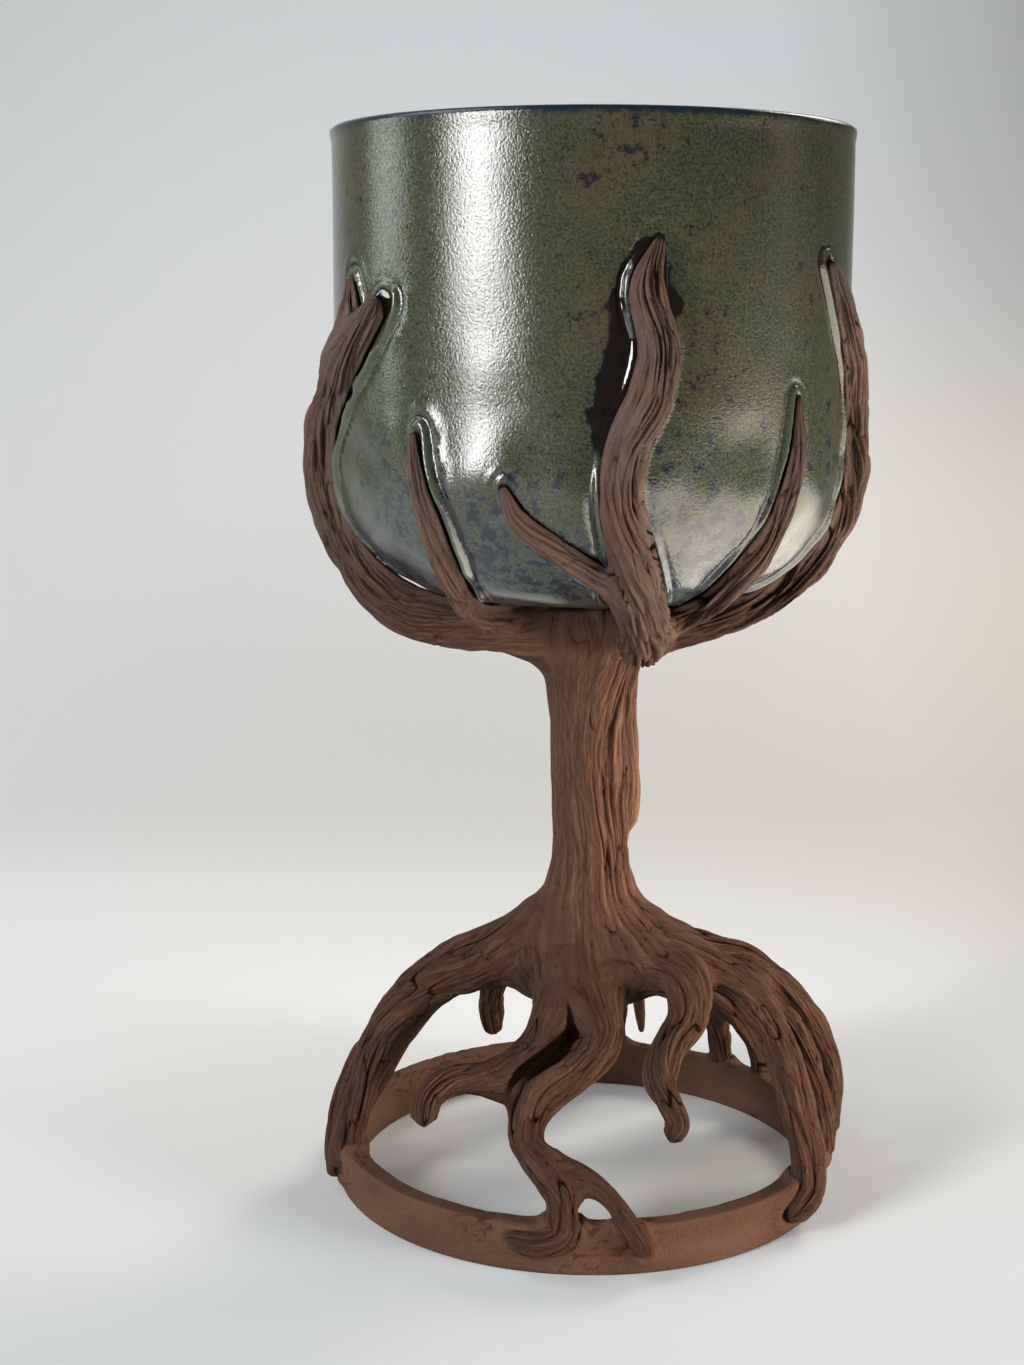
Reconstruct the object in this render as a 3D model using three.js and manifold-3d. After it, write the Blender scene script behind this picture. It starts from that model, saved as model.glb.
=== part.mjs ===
// A hand-built ceramic chalice: a thrown and glazed cup, held in the branches of a clay tree whose trunk is
// the stem and whose roots spread out to a foot ring. Every coil of clay is its own solid, laid against the
// pieces that were there before it and cut to fit them with a thin line of slip between.
// Millimetres, +Z up. The origin is the centre of the foot ring's underside, and -Y faces the viewer.

import * as THREE from "three";
import { mergeVertices } from "three/addons/utils/BufferGeometryUtils.js";
import Module from "manifold-3d";

const wasm = await Module();
wasm.setup();

// Driving dimensions

// The line of slip between two joined pieces
const SLIP_GAP = 0.3;

// Foot ring: a slab bent into a hoop
const RING_OUTER_RADIUS = 48.3;
const RING_WALL = 4.2;
const RING_HEIGHT = 9.2;
const RING_EDGE = 0.7;

// Trunk: the stem, swelling to a collar where the roots leave and to a crown where the branches leave
const TRUNK_UNDERSIDE = 36.5;
const TRUNK_LENGTH = 78;
const TRUNK_WAIST_RADIUS = 8.2;
const TRUNK_COLLAR_RADIUS = 14.5;
const TRUNK_COLLAR_RISE = 8;
const TRUNK_COLLAR_FLARE = 13;
const TRUNK_CROWN_RADIUS = 13;
const TRUNK_CROWN_FLARE = 13;
const TRUNK_LEAN_X = 1.2;

// Cup: a round-bottomed cylinder
const CUP_RADIUS = 48;
const CUP_HEIGHT = 85.2;
const CUP_CORNER = 26;
const CUP_WALL = 3.8;
const CUP_FLOOR = 5;

// Coils: how finely the rolled clay is faceted
const COIL_SIDES = 8;
const COIL_STEP = 6;
const COIL_LEAST_STEPS = 5;
const LATHE_SIDES = 48;
const ARC_POINTS = 5;

// Worked-out places
const TRUNK_TOP = TRUNK_UNDERSIDE + TRUNK_LENGTH;
const ROOT_CROWN = TRUNK_UNDERSIDE + TRUNK_COLLAR_RISE;
const CUP_BASE = TRUNK_TOP + SLIP_GAP;
const CUP_FLAT_RADIUS = CUP_RADIUS - CUP_CORNER;
const RING_MIDDLE_RADIUS = RING_OUTER_RADIUS - RING_WALL / 2;

const CLAY = { color: 0x5b4033, roughness: 0.85, metalness: 0 };
const GLAZED_CLAY = { color: 0x5c5d45, roughness: 0.3, metalness: 0 };

// Roots, each from the collar outwards: [azimuth in degrees (0 is the front, 90 the right), share of the way
// from the axis to the middle of the ring's wall, share of the way from the table up to the collar, radius].
const ROOTS = {
  left_root: [
    [-74, 0.12, 1.04, 7.2], [-78, 0.35, 1.02, 6.6], [-81, 0.57, 0.93, 6], [-82, 0.76, 0.77, 5.4],
    [-80, 0.9, 0.55, 4.7], [-77, 0.985, 0.33, 4], [-71, 1.035, 0.12, 3.2],
  ],
  right_root: [
    [62, 0.14, 1.04, 5.4], [70, 0.44, 1.02, 4.8], [71, 0.64, 0.95, 4.5], [68, 0.8, 0.81, 4.4],
    [64, 0.915, 0.63, 4.3], [61, 0.99, 0.46, 4.2], [60, 1.045, 0.29, 4], [57, 1.08, 0.16, 3.5],
    [50, 1.085, 0.1, 2.5],
  ],
  right_rear_root: [
    [92, 0.13, 1.03, 5.6], [92, 0.42, 1.02, 5], [95, 0.69, 0.93, 4.6], [96, 0.9, 0.75, 4.4],
    [95, 1.02, 0.54, 4.2], [90, 1.05, 0.36, 3.7], [85, 1.04, 0.21, 3],
  ],
  front_root: [
    [-8, 0.16, 0.98, 4.4], [9, 0.36, 0.87, 4.1], [10, 0.48, 0.76, 3.9], [-3, 0.585, 0.64, 3.9],
    [-14, 0.695, 0.55, 3.9], [-15, 0.81, 0.44, 3.9], [-8.5, 0.9, 0.345, 3.7], [-4, 1, 0.255, 3.5],
    [-4, 1.08, 0.175, 3.1], [-9, 1.09, 0.14, 2.8], [-15, 1.085, 0.155, 1.9],
  ],
  front_left_root: [
    [-24, 0.16, 0.97, 4.2], [-22, 0.37, 0.83, 3.9], [-24, 0.52, 0.7, 3.8], [-32, 0.69, 0.64, 3.7],
    [-39, 0.83, 0.65, 3.6], [-41.5, 0.915, 0.59, 3.5], [-41.5, 0.945, 0.48, 3],
  ],
  front_right_root: [
    [46, 0.14, 1, 5], [52, 0.52, 0.965, 4.5], [47, 0.58, 0.845, 4.1], [35, 0.59, 0.735, 3.8],
    [28.5, 0.635, 0.64, 3.6], [29, 0.71, 0.55, 3.4], [30.5, 0.745, 0.47, 3.1], [28, 0.75, 0.41, 2.4],
  ],
  back_root: [
    [172, 0.14, 0.99, 5], [170, 0.46, 0.95, 4.5], [169, 0.69, 0.78, 4.1], [170, 0.86, 0.55, 3.8],
    [171, 0.96, 0.34, 3.3], [172, 1.01, 0.15, 2.6],
  ],
  back_right_root: [
    [126, 0.14, 0.99, 5], [130, 0.46, 0.95, 4.5], [134, 0.67, 0.8, 4.2], [137, 0.84, 0.6, 3.9],
    [139, 0.95, 0.38, 3.4], [140, 1.01, 0.16, 2.6],
  ],
  back_left_root: [
    [-140, 0.14, 0.95, 4.8], [-138, 0.4, 0.87, 4.1], [-136, 0.555, 0.72, 3.3], [-136, 0.6, 0.57, 2.9],
    [-137, 0.595, 0.45, 1.9],
  ],
};

// Thinner strands that fork off a root, in the same measure
const ROOT_FORKS = {
  left_root_outer_strand: [
    [-84, 0.8, 0.66, 2.8], [-89, 0.95, 0.5, 2.8], [-86, 1.04, 0.3, 2.5], [-79, 1.075, 0.15, 2.2],
    [-73, 1.08, 0.075, 1.6],
  ],
  left_root_rear_strand: [
    [-92, 0.36, 0.9, 3.6], [-99, 0.62, 0.77, 3.4], [-100, 0.78, 0.57, 3], [-99, 0.89, 0.36, 2.6],
    [-97, 0.97, 0.2, 2],
  ],
  front_root_fork: [
    [-9, 0.88, 0.385, 2.8], [1, 0.95, 0.365, 2.5], [7.5, 1.025, 0.285, 2.5], [11, 1.085, 0.19, 2.5],
    [13, 1.085, 0.1, 2],
  ],
  right_root_web_strand: [
    [82, 0.74, 0.86, 3.2], [80, 0.9, 0.69, 3.2], [79, 0.995, 0.49, 3.1], [77, 1.04, 0.32, 2.6],
    [75, 1.05, 0.19, 1.8],
  ],
  back_right_root_fork: [
    [134, 0.76, 0.69, 2.7], [128, 0.9, 0.48, 2.5], [126, 0.99, 0.28, 2.2], [125, 1.01, 0.15, 1.8],
  ],
  back_hanging_rootlet: [
    [150, 0.2, 0.94, 3.4], [152, 0.42, 0.8, 2.8], [154, 0.56, 0.62, 2], [154, 0.6, 0.43, 1.1],
  ],
};

// Branches, each from the crown upwards along the cup's outside: [azimuth in degrees, distance along the cup's
// outline from the centre of its base, radius, share of the radius that the centreline stands off the cup].
const BRANCHES = {
  left_branch: [
    [-58, 6, 5.6, 1.1], [-62, 20, 5, 1.05], [-74, 34, 4.8, 1.05], [-81, 48, 4.3, 0.65], [-82, 58, 3.9, 0.5],
    [-78, 68, 3.7, 0.4], [-67, 77, 3.5, 0.4], [-57, 84, 3.1, 0.45], [-48, 91, 2.2, 0.45],
  ],
  front_branch: [
    [33, 17, 5, 1.7], [27, 22, 5.1, 1.15], [20, 29, 5.1, 0.75], [15, 36, 5, 0.55], [9.5, 49, 4.3, 0.45],
    [6.5, 59, 3.6, 0.45], [7.3, 67, 3.7, 0.45], [12, 76, 3.8, 0.45], [13.6, 84, 3.6, 0.45], [11, 93, 3, 0.45],
    [13.4, 101, 0.8, 0.45],
  ],
  right_branch: [
    [56, 8, 5, 1.3], [60, 22, 4.5, 1], [68, 36, 3.9, 0.6], [75, 48, 3.6, 0.3], [78, 58, 3.6, 0.2],
    [78, 70, 3.4, 0.2], [74, 81, 3.1, 0.2], [66, 90, 2.4, 0.3], [59, 98, 0.9, 0.45],
  ],
  back_branch: [
    [186, 6, 5.6, 1.2], [184, 21, 5, 0.9], [178, 36, 4.5, 0.6], [172, 50, 4.1, 0.5], [173, 61, 3.9, 0.45],
    [181, 71, 3.7, 0.45], [186, 81, 3.3, 0.45], [183, 90, 2.6, 0.45], [178, 98, 0.9, 0.45],
  ],
};

// Twigs and forks, in the same measure
const TWIGS = {
  left_branch_fork: [
    [-64, 79, 2.6, 0.45], [-60.5, 86, 2.4, 0.45], [-59, 90.5, 1.9, 0.45], [-60, 95, 0.8, 0.45],
  ],
  left_twig: [
    [-56, 18, 3.1, 0.9], [-46, 28, 2.6, 0.6], [-38, 38, 2.3, 0.45], [-35, 47, 2.2, 0.45], [-35.5, 55, 2, 0.45],
    [-37.5, 62, 1.6, 0.45], [-38.5, 69, 0.6, 0.45],
  ],
  front_twig: [
    [15, 34, 2.9, 0.55], [8, 40, 2.5, 0.5], [0.5, 45, 2.2, 0.45], [-8, 50.5, 2.1, 0.45], [-14.5, 55, 1.8, 0.45],
    [-17.3, 60.5, 0.6, 0.45],
  ],
  right_twig: [
    [40, 10, 4, 0.9], [38, 23, 3.6, 0.6], [38, 33, 3, 0.45], [39.5, 43, 2.6, 0.45], [43, 53, 2.2, 0.45],
    [47, 63, 1.8, 0.45], [48, 75, 0.6, 0.45],
  ],
  back_branch_fork: [[176, 55, 3, 0.45], [168, 64, 2.6, 0.45], [160, 72, 2.2, 0.45], [157, 81, 0.8, 0.45]],
  back_left_twig: [
    [-150, 8, 4, 0.9], [-142, 23, 3.6, 0.6], [-136, 38, 3.2, 0.45], [-134, 50, 2.7, 0.45], [-138, 62, 2, 0.45],
    [-141, 72, 0.7, 0.45],
  ],
  back_right_twig: [
    [122, 8, 4, 0.9], [124, 23, 3.6, 0.6], [128, 38, 3.2, 0.45], [126, 49, 2.7, 0.45], [121, 60, 2, 0.45],
    [119, 69, 0.7, 0.45],
  ],
};

// Places

// A point at an azimuth seen from above, 0 at the front and 90 at the right
function polar(azimuth, radius, height) {
  const turn = THREE.MathUtils.degToRad(azimuth);
  return new THREE.Vector3(radius * Math.sin(turn), -radius * Math.cos(turn), height);
}

function rootPoint([azimuth, out, rise, radius]) {
  return { at: polar(azimuth, out * RING_MIDDLE_RADIUS, rise * ROOT_CROWN), radius };
}

// A point a distance along the cup's outline, from the centre of its base round the corner and up the wall
function branchPoint([azimuth, along, radius, lift]) {
  const standOff = lift * radius;
  const cornerLength = (CUP_CORNER * Math.PI) / 2;
  const bend = THREE.MathUtils.clamp((along - CUP_FLAT_RADIUS) / CUP_CORNER, 0, Math.PI / 2);
  const up = Math.max(0, along - CUP_FLAT_RADIUS - cornerLength);
  const out = Math.min(along, CUP_FLAT_RADIUS) + (CUP_CORNER + standOff) * Math.sin(bend);
  const height = CUP_BASE + CUP_CORNER - (CUP_CORNER + standOff) * Math.cos(bend) + up;
  return { at: polar(azimuth, out, height), radius };
}

// Shapes

// A quarter or half turn of points about a centre, in the half plane that a lathe turns
function arc(centreX, centreY, radius, fromDegrees, toDegrees, points = ARC_POINTS) {
  return Array.from({ length: points + 1 }, (_, i) => {
    const turn = THREE.MathUtils.degToRad(fromDegrees + ((toDegrees - fromDegrees) * i) / points);
    return new THREE.Vector2(centreX + radius * Math.cos(turn), centreY + radius * Math.sin(turn));
  });
}

// A solid turned about the Z axis from an outline of radius and height
function turned(outline) {
  const geometry = new THREE.LatheGeometry(outline, LATHE_SIDES).rotateX(Math.PI / 2);
  geometry.deleteAttribute("normal");
  geometry.deleteAttribute("uv");
  return solid(mergeVertices(geometry));
}

// A solid rolled along a smooth line through points, each with its own radius
function coil(points, grow = 0) {
  const line = new THREE.CatmullRomCurve3(points.map((point) => point.at), false, "centripetal");
  const steps = Math.max(COIL_LEAST_STEPS, Math.round(line.getLength() / COIL_STEP));
  const { tangents, normals, binormals } = line.computeFrenetFrames(steps, false);
  const corners = [];
  const triangles = [];
  const addCorner = (corner) => corners.push(corner.x, corner.y, corner.z) / 3 - 1;
  const rings = tangents.map((tangent, step) => {
    const share = line.getUtoTmapping(step / steps);
    const place = share * (points.length - 1);
    const before = Math.min(Math.floor(place), points.length - 2);
    const { radius: radiusBefore } = points[before];
    const { radius: radiusAfter } = points[before + 1];
    const radius = THREE.MathUtils.lerp(radiusBefore, radiusAfter, place - before) + grow;
    const lengthening = (step === steps ? grow : 0) - (step === 0 ? grow : 0);
    const centre = line.getPoint(share).addScaledVector(tangent, lengthening);
    const ring = ringOfCorners(centre, normals[step], binormals[step], radius);
    return { centre, ring: ring.map(addCorner) };
  });
  const each = (visit) => Array.from({ length: COIL_SIDES }, (_, side) => visit(side, (side + 1) % COIL_SIDES));
  for (let step = 0; step < steps; step++) {
    const near = rings[step].ring;
    const far = rings[step + 1].ring;
    each((side, next) => triangles.push(near[side], near[next], far[side], near[next], far[next], far[side]));
  }
  const first = rings[0];
  const last = rings[steps];
  const firstCentre = addCorner(first.centre);
  const lastCentre = addCorner(last.centre);
  each((side, next) => triangles.push(firstCentre, first.ring[next], first.ring[side]));
  each((side, next) => triangles.push(lastCentre, last.ring[side], last.ring[next]));
  const geometry = new THREE.BufferGeometry();
  geometry.setAttribute("position", new THREE.Float32BufferAttribute(corners, 3));
  geometry.setIndex(triangles);
  return solid(geometry);
}

function ringOfCorners(centre, normal, binormal, radius) {
  return Array.from({ length: COIL_SIDES }, (_, side) => {
    const turn = (2 * Math.PI * side) / COIL_SIDES;
    return centre
      .clone()
      .addScaledVector(normal, radius * Math.cos(turn))
      .addScaledVector(binormal, radius * Math.sin(turn));
  });
}

// Solids

// An indexed, closed geometry as a solid that can be cut
function solid(geometry) {
  const vertProperties = new Float32Array(geometry.getAttribute("position").array);
  const triVerts = new Uint32Array(geometry.getIndex().array);
  return new wasm.Manifold(new wasm.Mesh({ numProp: 3, vertProperties, triVerts }));
}

function geometryOf(cut) {
  const { vertProperties, triVerts } = cut.getMesh();
  const geometry = new THREE.BufferGeometry();
  geometry.setAttribute("position", new THREE.BufferAttribute(vertProperties, 3));
  geometry.setIndex(new THREE.BufferAttribute(triVerts, 1));
  geometry.computeVertexNormals();
  return geometry;
}

// The foot ring's outline, with its four edges bevelled, grown all round
function ringOutline(grow = 0) {
  const inner = RING_OUTER_RADIUS - RING_WALL - grow;
  const outer = RING_OUTER_RADIUS + grow;
  const top = RING_HEIGHT + grow;
  const outline = [
    [inner, RING_EDGE - grow], [inner + RING_EDGE, -grow],
    [outer - RING_EDGE, -grow], [outer, RING_EDGE - grow],
    [outer, top - RING_EDGE], [outer - RING_EDGE, top],
    [inner + RING_EDGE, top], [inner, top - RING_EDGE],
    [inner, RING_EDGE - grow],
  ];
  return outline.map(([radius, height]) => new THREE.Vector2(radius, height));
}

// The trunk's outline: a rounded underside, the collar, the waist and the crown
function trunkOutline(grow = 0) {
  const collarTop = ROOT_CROWN + TRUNK_COLLAR_FLARE;
  const crownFoot = TRUNK_TOP - TRUNK_CROWN_FLARE;
  const waist = (crownFoot + collarTop) / 2;
  const sides = new THREE.SplineCurve([
    new THREE.Vector2(TRUNK_COLLAR_RADIUS, ROOT_CROWN),
    new THREE.Vector2((TRUNK_COLLAR_RADIUS + TRUNK_WAIST_RADIUS) / 2, ROOT_CROWN + TRUNK_COLLAR_FLARE / 2),
    new THREE.Vector2(TRUNK_WAIST_RADIUS, collarTop),
    new THREE.Vector2(TRUNK_WAIST_RADIUS, waist),
    new THREE.Vector2(TRUNK_WAIST_RADIUS, crownFoot),
    new THREE.Vector2((TRUNK_CROWN_RADIUS + TRUNK_WAIST_RADIUS) / 2, (crownFoot + TRUNK_TOP) / 2),
    new THREE.Vector2(TRUNK_CROWN_RADIUS, TRUNK_TOP),
  ]);
  const underside = arc(0, ROOT_CROWN, 1, -90, 0).map(
    ({ x, y }) => new THREE.Vector2(x * TRUNK_COLLAR_RADIUS, ROOT_CROWN + (y - ROOT_CROWN) * TRUNK_COLLAR_RISE),
  );
  const wall = [...underside, ...sides.getPoints(3 * ARC_POINTS).slice(1)];
  const grown = wall.map(({ x, y }, i) => {
    const before = wall[Math.max(i - 1, 0)];
    const after = wall[Math.min(i + 1, wall.length - 1)];
    const outwards = new THREE.Vector2(after.y - before.y, before.x - after.x).normalize();
    return new THREE.Vector2(i === 0 ? 0 : x + grow * outwards.x, i === 0 ? y - grow : y + grow * outwards.y);
  });
  const rim = grown[grown.length - 1];
  return [...grown, new THREE.Vector2(rim.x, TRUNK_TOP + grow), new THREE.Vector2(0, TRUNK_TOP + grow)];
}

// The cup's outline, from the centre of its base up the outside, over the lip and down the inside
function cupOutline() {
  const lip = CUP_WALL / 2;
  const innerCorner = CUP_CORNER - CUP_WALL;
  const innerCentre = CUP_FLOOR + innerCorner;
  return [
    new THREE.Vector2(0, 0),
    ...arc(CUP_FLAT_RADIUS, CUP_CORNER, CUP_CORNER, -90, 0),
    ...arc(CUP_RADIUS - lip, CUP_HEIGHT - lip, lip, 0, 180),
    ...arc(CUP_FLAT_RADIUS, innerCentre, innerCorner, 0, -90),
    new THREE.Vector2(0, CUP_FLOOR),
  ];
}

// The outside of the cup as a plain lump, grown all round, to cut the branches with
function cupLumpOutline(grow) {
  return [
    new THREE.Vector2(0, -grow),
    ...arc(CUP_FLAT_RADIUS, CUP_CORNER, CUP_CORNER + grow, -90, 0),
    new THREE.Vector2(CUP_RADIUS + grow, CUP_HEIGHT + grow),
    new THREE.Vector2(0, CUP_HEIGHT + grow),
  ];
}

// Assembly

const chalice = new THREE.Group();
const laid = [];

// Cuts a piece by all the pieces laid before it, keeps its largest body and adds it to the group
function lay(name, finish, shape, grown, group) {
  const fitted = laid.reduce((left, other) => left.subtract(other), shape);
  const [largest] = fitted.decompose().sort((a, b) => b.volume() - a.volume());
  const mesh = new THREE.Mesh(geometryOf(largest), new THREE.MeshStandardMaterial(finish));
  mesh.name = name;
  group.add(mesh);
  laid.push(grown);
}

function layCoils(coils, place, group) {
  for (const [name, route] of Object.entries(coils)) {
    const points = route.map(place);
    lay(name, CLAY, coil(points), coil(points, SLIP_GAP), group);
  }
}

const stem = new THREE.Group();
const roots = new THREE.Group();
const branches = new THREE.Group();
chalice.add(stem, roots, branches);

lay("foot_ring", CLAY, turned(ringOutline()), turned(ringOutline(SLIP_GAP)), stem);
lay(
  "trunk",
  CLAY,
  turned(trunkOutline()).translate([TRUNK_LEAN_X, 0, 0]),
  turned(trunkOutline(SLIP_GAP)).translate([TRUNK_LEAN_X, 0, 0]),
  stem,
);

const cup = new THREE.Mesh(geometryOf(turned(cupOutline())), new THREE.MeshStandardMaterial(GLAZED_CLAY));
cup.name = "cup_bowl";
cup.position.z = CUP_BASE;
chalice.add(cup);
laid.push(turned(cupLumpOutline(SLIP_GAP)).translate([0, 0, CUP_BASE]));

layCoils(ROOTS, rootPoint, roots);
layCoils(ROOT_FORKS, rootPoint, roots);
layCoils(BRANCHES, branchPoint, branches);
layCoils(TWIGS, branchPoint, branches);

export default chalice;
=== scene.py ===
# %% [markdown]
# # A chalice in the shape of a tree
#
# The chalice is hand-built pottery: a thrown cup with an olive glaze, held in the branches of a tree of
# bare brown clay. The trunk is the stem, and the roots stand on a hoop. This lesson dresses a plain model
# of it: it rolls every root and branch as a long coil of clay, combs bark into it, smears it onto its
# neighbours, and then glazes the cup. The frame gives each piece's place, so the lesson begins by loading
# it.

# %% Frame
import math
from collections import namedtuple

import bmesh
import bpy
import numpy as np
from mathutils import Matrix, Vector


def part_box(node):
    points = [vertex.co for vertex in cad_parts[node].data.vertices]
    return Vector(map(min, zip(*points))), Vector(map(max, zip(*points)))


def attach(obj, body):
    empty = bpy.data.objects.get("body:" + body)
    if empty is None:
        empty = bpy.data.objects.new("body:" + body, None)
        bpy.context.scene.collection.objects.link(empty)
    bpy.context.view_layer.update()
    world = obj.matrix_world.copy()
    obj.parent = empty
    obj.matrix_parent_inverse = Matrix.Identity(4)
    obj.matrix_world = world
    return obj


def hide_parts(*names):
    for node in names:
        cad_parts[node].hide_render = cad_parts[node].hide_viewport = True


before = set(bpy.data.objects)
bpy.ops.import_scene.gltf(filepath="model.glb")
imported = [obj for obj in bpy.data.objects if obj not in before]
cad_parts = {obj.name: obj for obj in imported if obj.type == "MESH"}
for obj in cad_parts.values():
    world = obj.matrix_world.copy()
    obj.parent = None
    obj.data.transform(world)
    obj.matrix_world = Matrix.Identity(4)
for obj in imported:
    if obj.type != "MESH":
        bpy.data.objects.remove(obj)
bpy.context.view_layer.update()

print("nodes to dress:", len(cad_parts))

# %% [markdown]
# ## Sizes
#
# Clay is measured in millimetres here and turned to metres only when a mesh is written. The sizes that
# the frame shows are read from it. The few that a box can't show, such as a wall's thickness, are named
# below.

# %% Sizes
MM = 0.001
_, ring_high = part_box("foot_ring")
cup_low, cup_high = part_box("cup_bowl")
trunk_low, trunk_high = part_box("trunk")

RING_OUTER_RADIUS = ring_high.x / MM
RING_HEIGHT = ring_high.z / MM
RING_WALL = 4.2
RING_EDGE = 0.7
RING_MIDDLE_RADIUS = RING_OUTER_RADIUS - RING_WALL / 2

TRUNK_UNDERSIDE = trunk_low.z / MM
TRUNK_TOP = trunk_high.z / MM
TRUNK_LEAN_X = (trunk_low.x + trunk_high.x) / 2 / MM
TRUNK_COLLAR_RISE = 8
ROOT_CROWN = TRUNK_UNDERSIDE + TRUNK_COLLAR_RISE

CUP_RADIUS = cup_high.x / MM
CUP_BASE = cup_low.z / MM
CUP_RIM = cup_high.z / MM
CUP_CORNER = 26
CUP_WALL = 3.8
CUP_FLOOR = 5
CUP_FLAT_RADIUS = CUP_RADIUS - CUP_CORNER
print(f"ring {RING_OUTER_RADIUS * 2:.1f} mm across, cup {CUP_RADIUS * 2:.1f} mm across")
print(f"rim {CUP_RIM:.1f} mm up")

# %% [markdown]
# ## Camera
#
# The picture was taken from a little above the cup's middle, close by, with a lens of about 53 mm on a
# frame 36 mm tall. A camera is a point and three directions, so its matrix is built from where it looks:
# a pitch down, a small yaw to the left and a trace of roll.

# %% Camera
CAMERA_PLACE = Vector((0, -0.3815, 0.1653))
CAMERA_PITCH = math.radians(10.05)
CAMERA_YAW = math.radians(-2.15)
CAMERA_ROLL = math.radians(0.17)
CAMERA_FOCAL_PIXELS = 2024
IMAGE_HEIGHT_PIXELS = 1365
SENSOR_HEIGHT = 36

forward = Vector((
    math.sin(CAMERA_YAW) * math.cos(CAMERA_PITCH),
    math.cos(CAMERA_YAW) * math.cos(CAMERA_PITCH),
    -math.sin(CAMERA_PITCH),
))
level = Vector((math.cos(CAMERA_YAW), -math.sin(CAMERA_YAW), 0))
upright = level.cross(forward)
right = level * math.cos(CAMERA_ROLL) + upright * math.sin(CAMERA_ROLL)
up = upright * math.cos(CAMERA_ROLL) - level * math.sin(CAMERA_ROLL)

lens = bpy.data.cameras.new("camera")
lens.sensor_width = SENSOR_HEIGHT
lens.lens = SENSOR_HEIGHT * CAMERA_FOCAL_PIXELS / IMAGE_HEIGHT_PIXELS
camera = bpy.data.objects.new("camera", lens)
camera.matrix_world = Matrix.Translation(CAMERA_PLACE) @ Matrix((right, up, -forward)).transposed().to_4x4()
bpy.context.scene.collection.objects.link(camera)
bpy.context.scene.camera = camera
print(f"camera lens {lens.lens:.1f} mm")

# %% [markdown]
# ## Colours and nodes
#
# Colours are written as the eye sees them, in sRGB hex, and one function turns them to the linear values
# that light adds up in. Another small function adds a shader node with its settings and its links.


# %% Colour and node helpers
def linear(hex_colour):
    """An sRGB hex colour as linear red, green, blue and alpha."""
    parts = [int(hex_colour[i:i + 2], 16) / 255 for i in (1, 3, 5)]
    return (*[c / 12.92 if c <= 0.04045 else ((c + 0.055) / 1.055) ** 2.4 for c in parts], 1)


def add(tree, kind, links, give=0, **settings):
    """Adds a node, sets its inputs to values, hex colours or other outputs, and gives back an output."""
    node = tree.nodes.new(kind)
    for key, value in settings.items():
        setattr(node, key, value)
    open_inputs = [socket for socket in node.inputs if socket.enabled]
    for key, value in links.items():
        socket = open_inputs[key] if isinstance(key, int) else next(s for s in open_inputs if s.name == key)
        if isinstance(value, bpy.types.NodeSocket):
            tree.links.new(value, socket)
        else:
            socket.default_value = linear(value) if isinstance(value, str) else value
    open_outputs = [socket for socket in node.outputs if socket.enabled]
    if isinstance(give, str):
        return node.outputs[give]
    return open_outputs[give] if open_outputs else None


def new_material(name):
    """A material with an empty node tree."""
    material = bpy.data.materials.new(name)
    material.use_nodes = True
    material.node_tree.nodes.clear()
    return material


print("mid grey in linear light:", [round(part, 3) for part in linear("#808080")])

# %% [markdown]
# ## Floor
#
# The chalice stands on a white sweep, a sheet of matt card that curves up into a wall with no corner to
# cast a line. A sheet has one long edge, so a single edge is drawn out along the floor, round the bend
# and up the wall.

# %% Sweep
SWEEP_WIDTH = 4.0
SWEEP_FRONT = -1.6
SWEEP_BACK = 1.2
SWEEP_BEND = 0.95
SWEEP_TOP = 2.2
SWEEP_STEPS = 48

sweep_mesh = bmesh.new()
edge = [sweep_mesh.verts.new((x, SWEEP_FRONT, 0)) for x in (-SWEEP_WIDTH / 2, SWEEP_WIDTH / 2)]
fold = [sweep_mesh.edges.new(edge)]


def draw_out(vector):
    """Extrudes the sweep's last edge along a vector."""
    made = bmesh.ops.extrude_edge_only(sweep_mesh, edges=fold)["geom"]
    bmesh.ops.translate(sweep_mesh, vec=vector, verts=[v for v in made if isinstance(v, bmesh.types.BMVert)])
    fold[:] = [e for e in made if isinstance(e, bmesh.types.BMEdge) and all(v in made for v in e.verts)]


draw_out((0, SWEEP_BACK - SWEEP_BEND - SWEEP_FRONT, 0))
turns = [math.pi / 2 * step / SWEEP_STEPS for step in range(SWEEP_STEPS + 1)]
for before, after in zip(turns, turns[1:]):
    draw_out((
        0,
        SWEEP_BEND * (math.sin(after) - math.sin(before)),
        SWEEP_BEND * (math.cos(before) - math.cos(after)),
    ))
draw_out((0, 0, SWEEP_TOP - SWEEP_BEND))
bmesh.ops.recalc_face_normals(sweep_mesh, faces=sweep_mesh.faces)
sweep_data = bpy.data.meshes.new("sweep")
sweep_mesh.to_mesh(sweep_data)
sweep_mesh.free()
sweep_data.shade_smooth()
sweep = bpy.data.objects.new("sweep", sweep_data)
bpy.context.scene.collection.objects.link(sweep)
print("sweep faces:", len(sweep_data.polygons))

# %% [markdown]
# ## Card
#
# White card is matt and takes the tone of the light on it. The daylight thins out just in front of the
# chalice and far to its right, so shade is painted into the card: its grey follows its place on the
# floor, which is simpler than shading lamps.

# %% Card
# The card's painted shade in front of the chalice and far to its right, and its plain grey behind
NEAR_PAINTED_SHADE = "#c9caca"
FAR_GREY = "#e4e4e3"
RIGHT_PAINTED_SHADE = "#858483"
# Where one grey passes into the next, in metres from the chalice's axis
NEAR_ENDS, FAR_STARTS = -0.06, 0.1
MIDDLE_ENDS, RIGHT_STARTS = 0.12, 0.5

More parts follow.
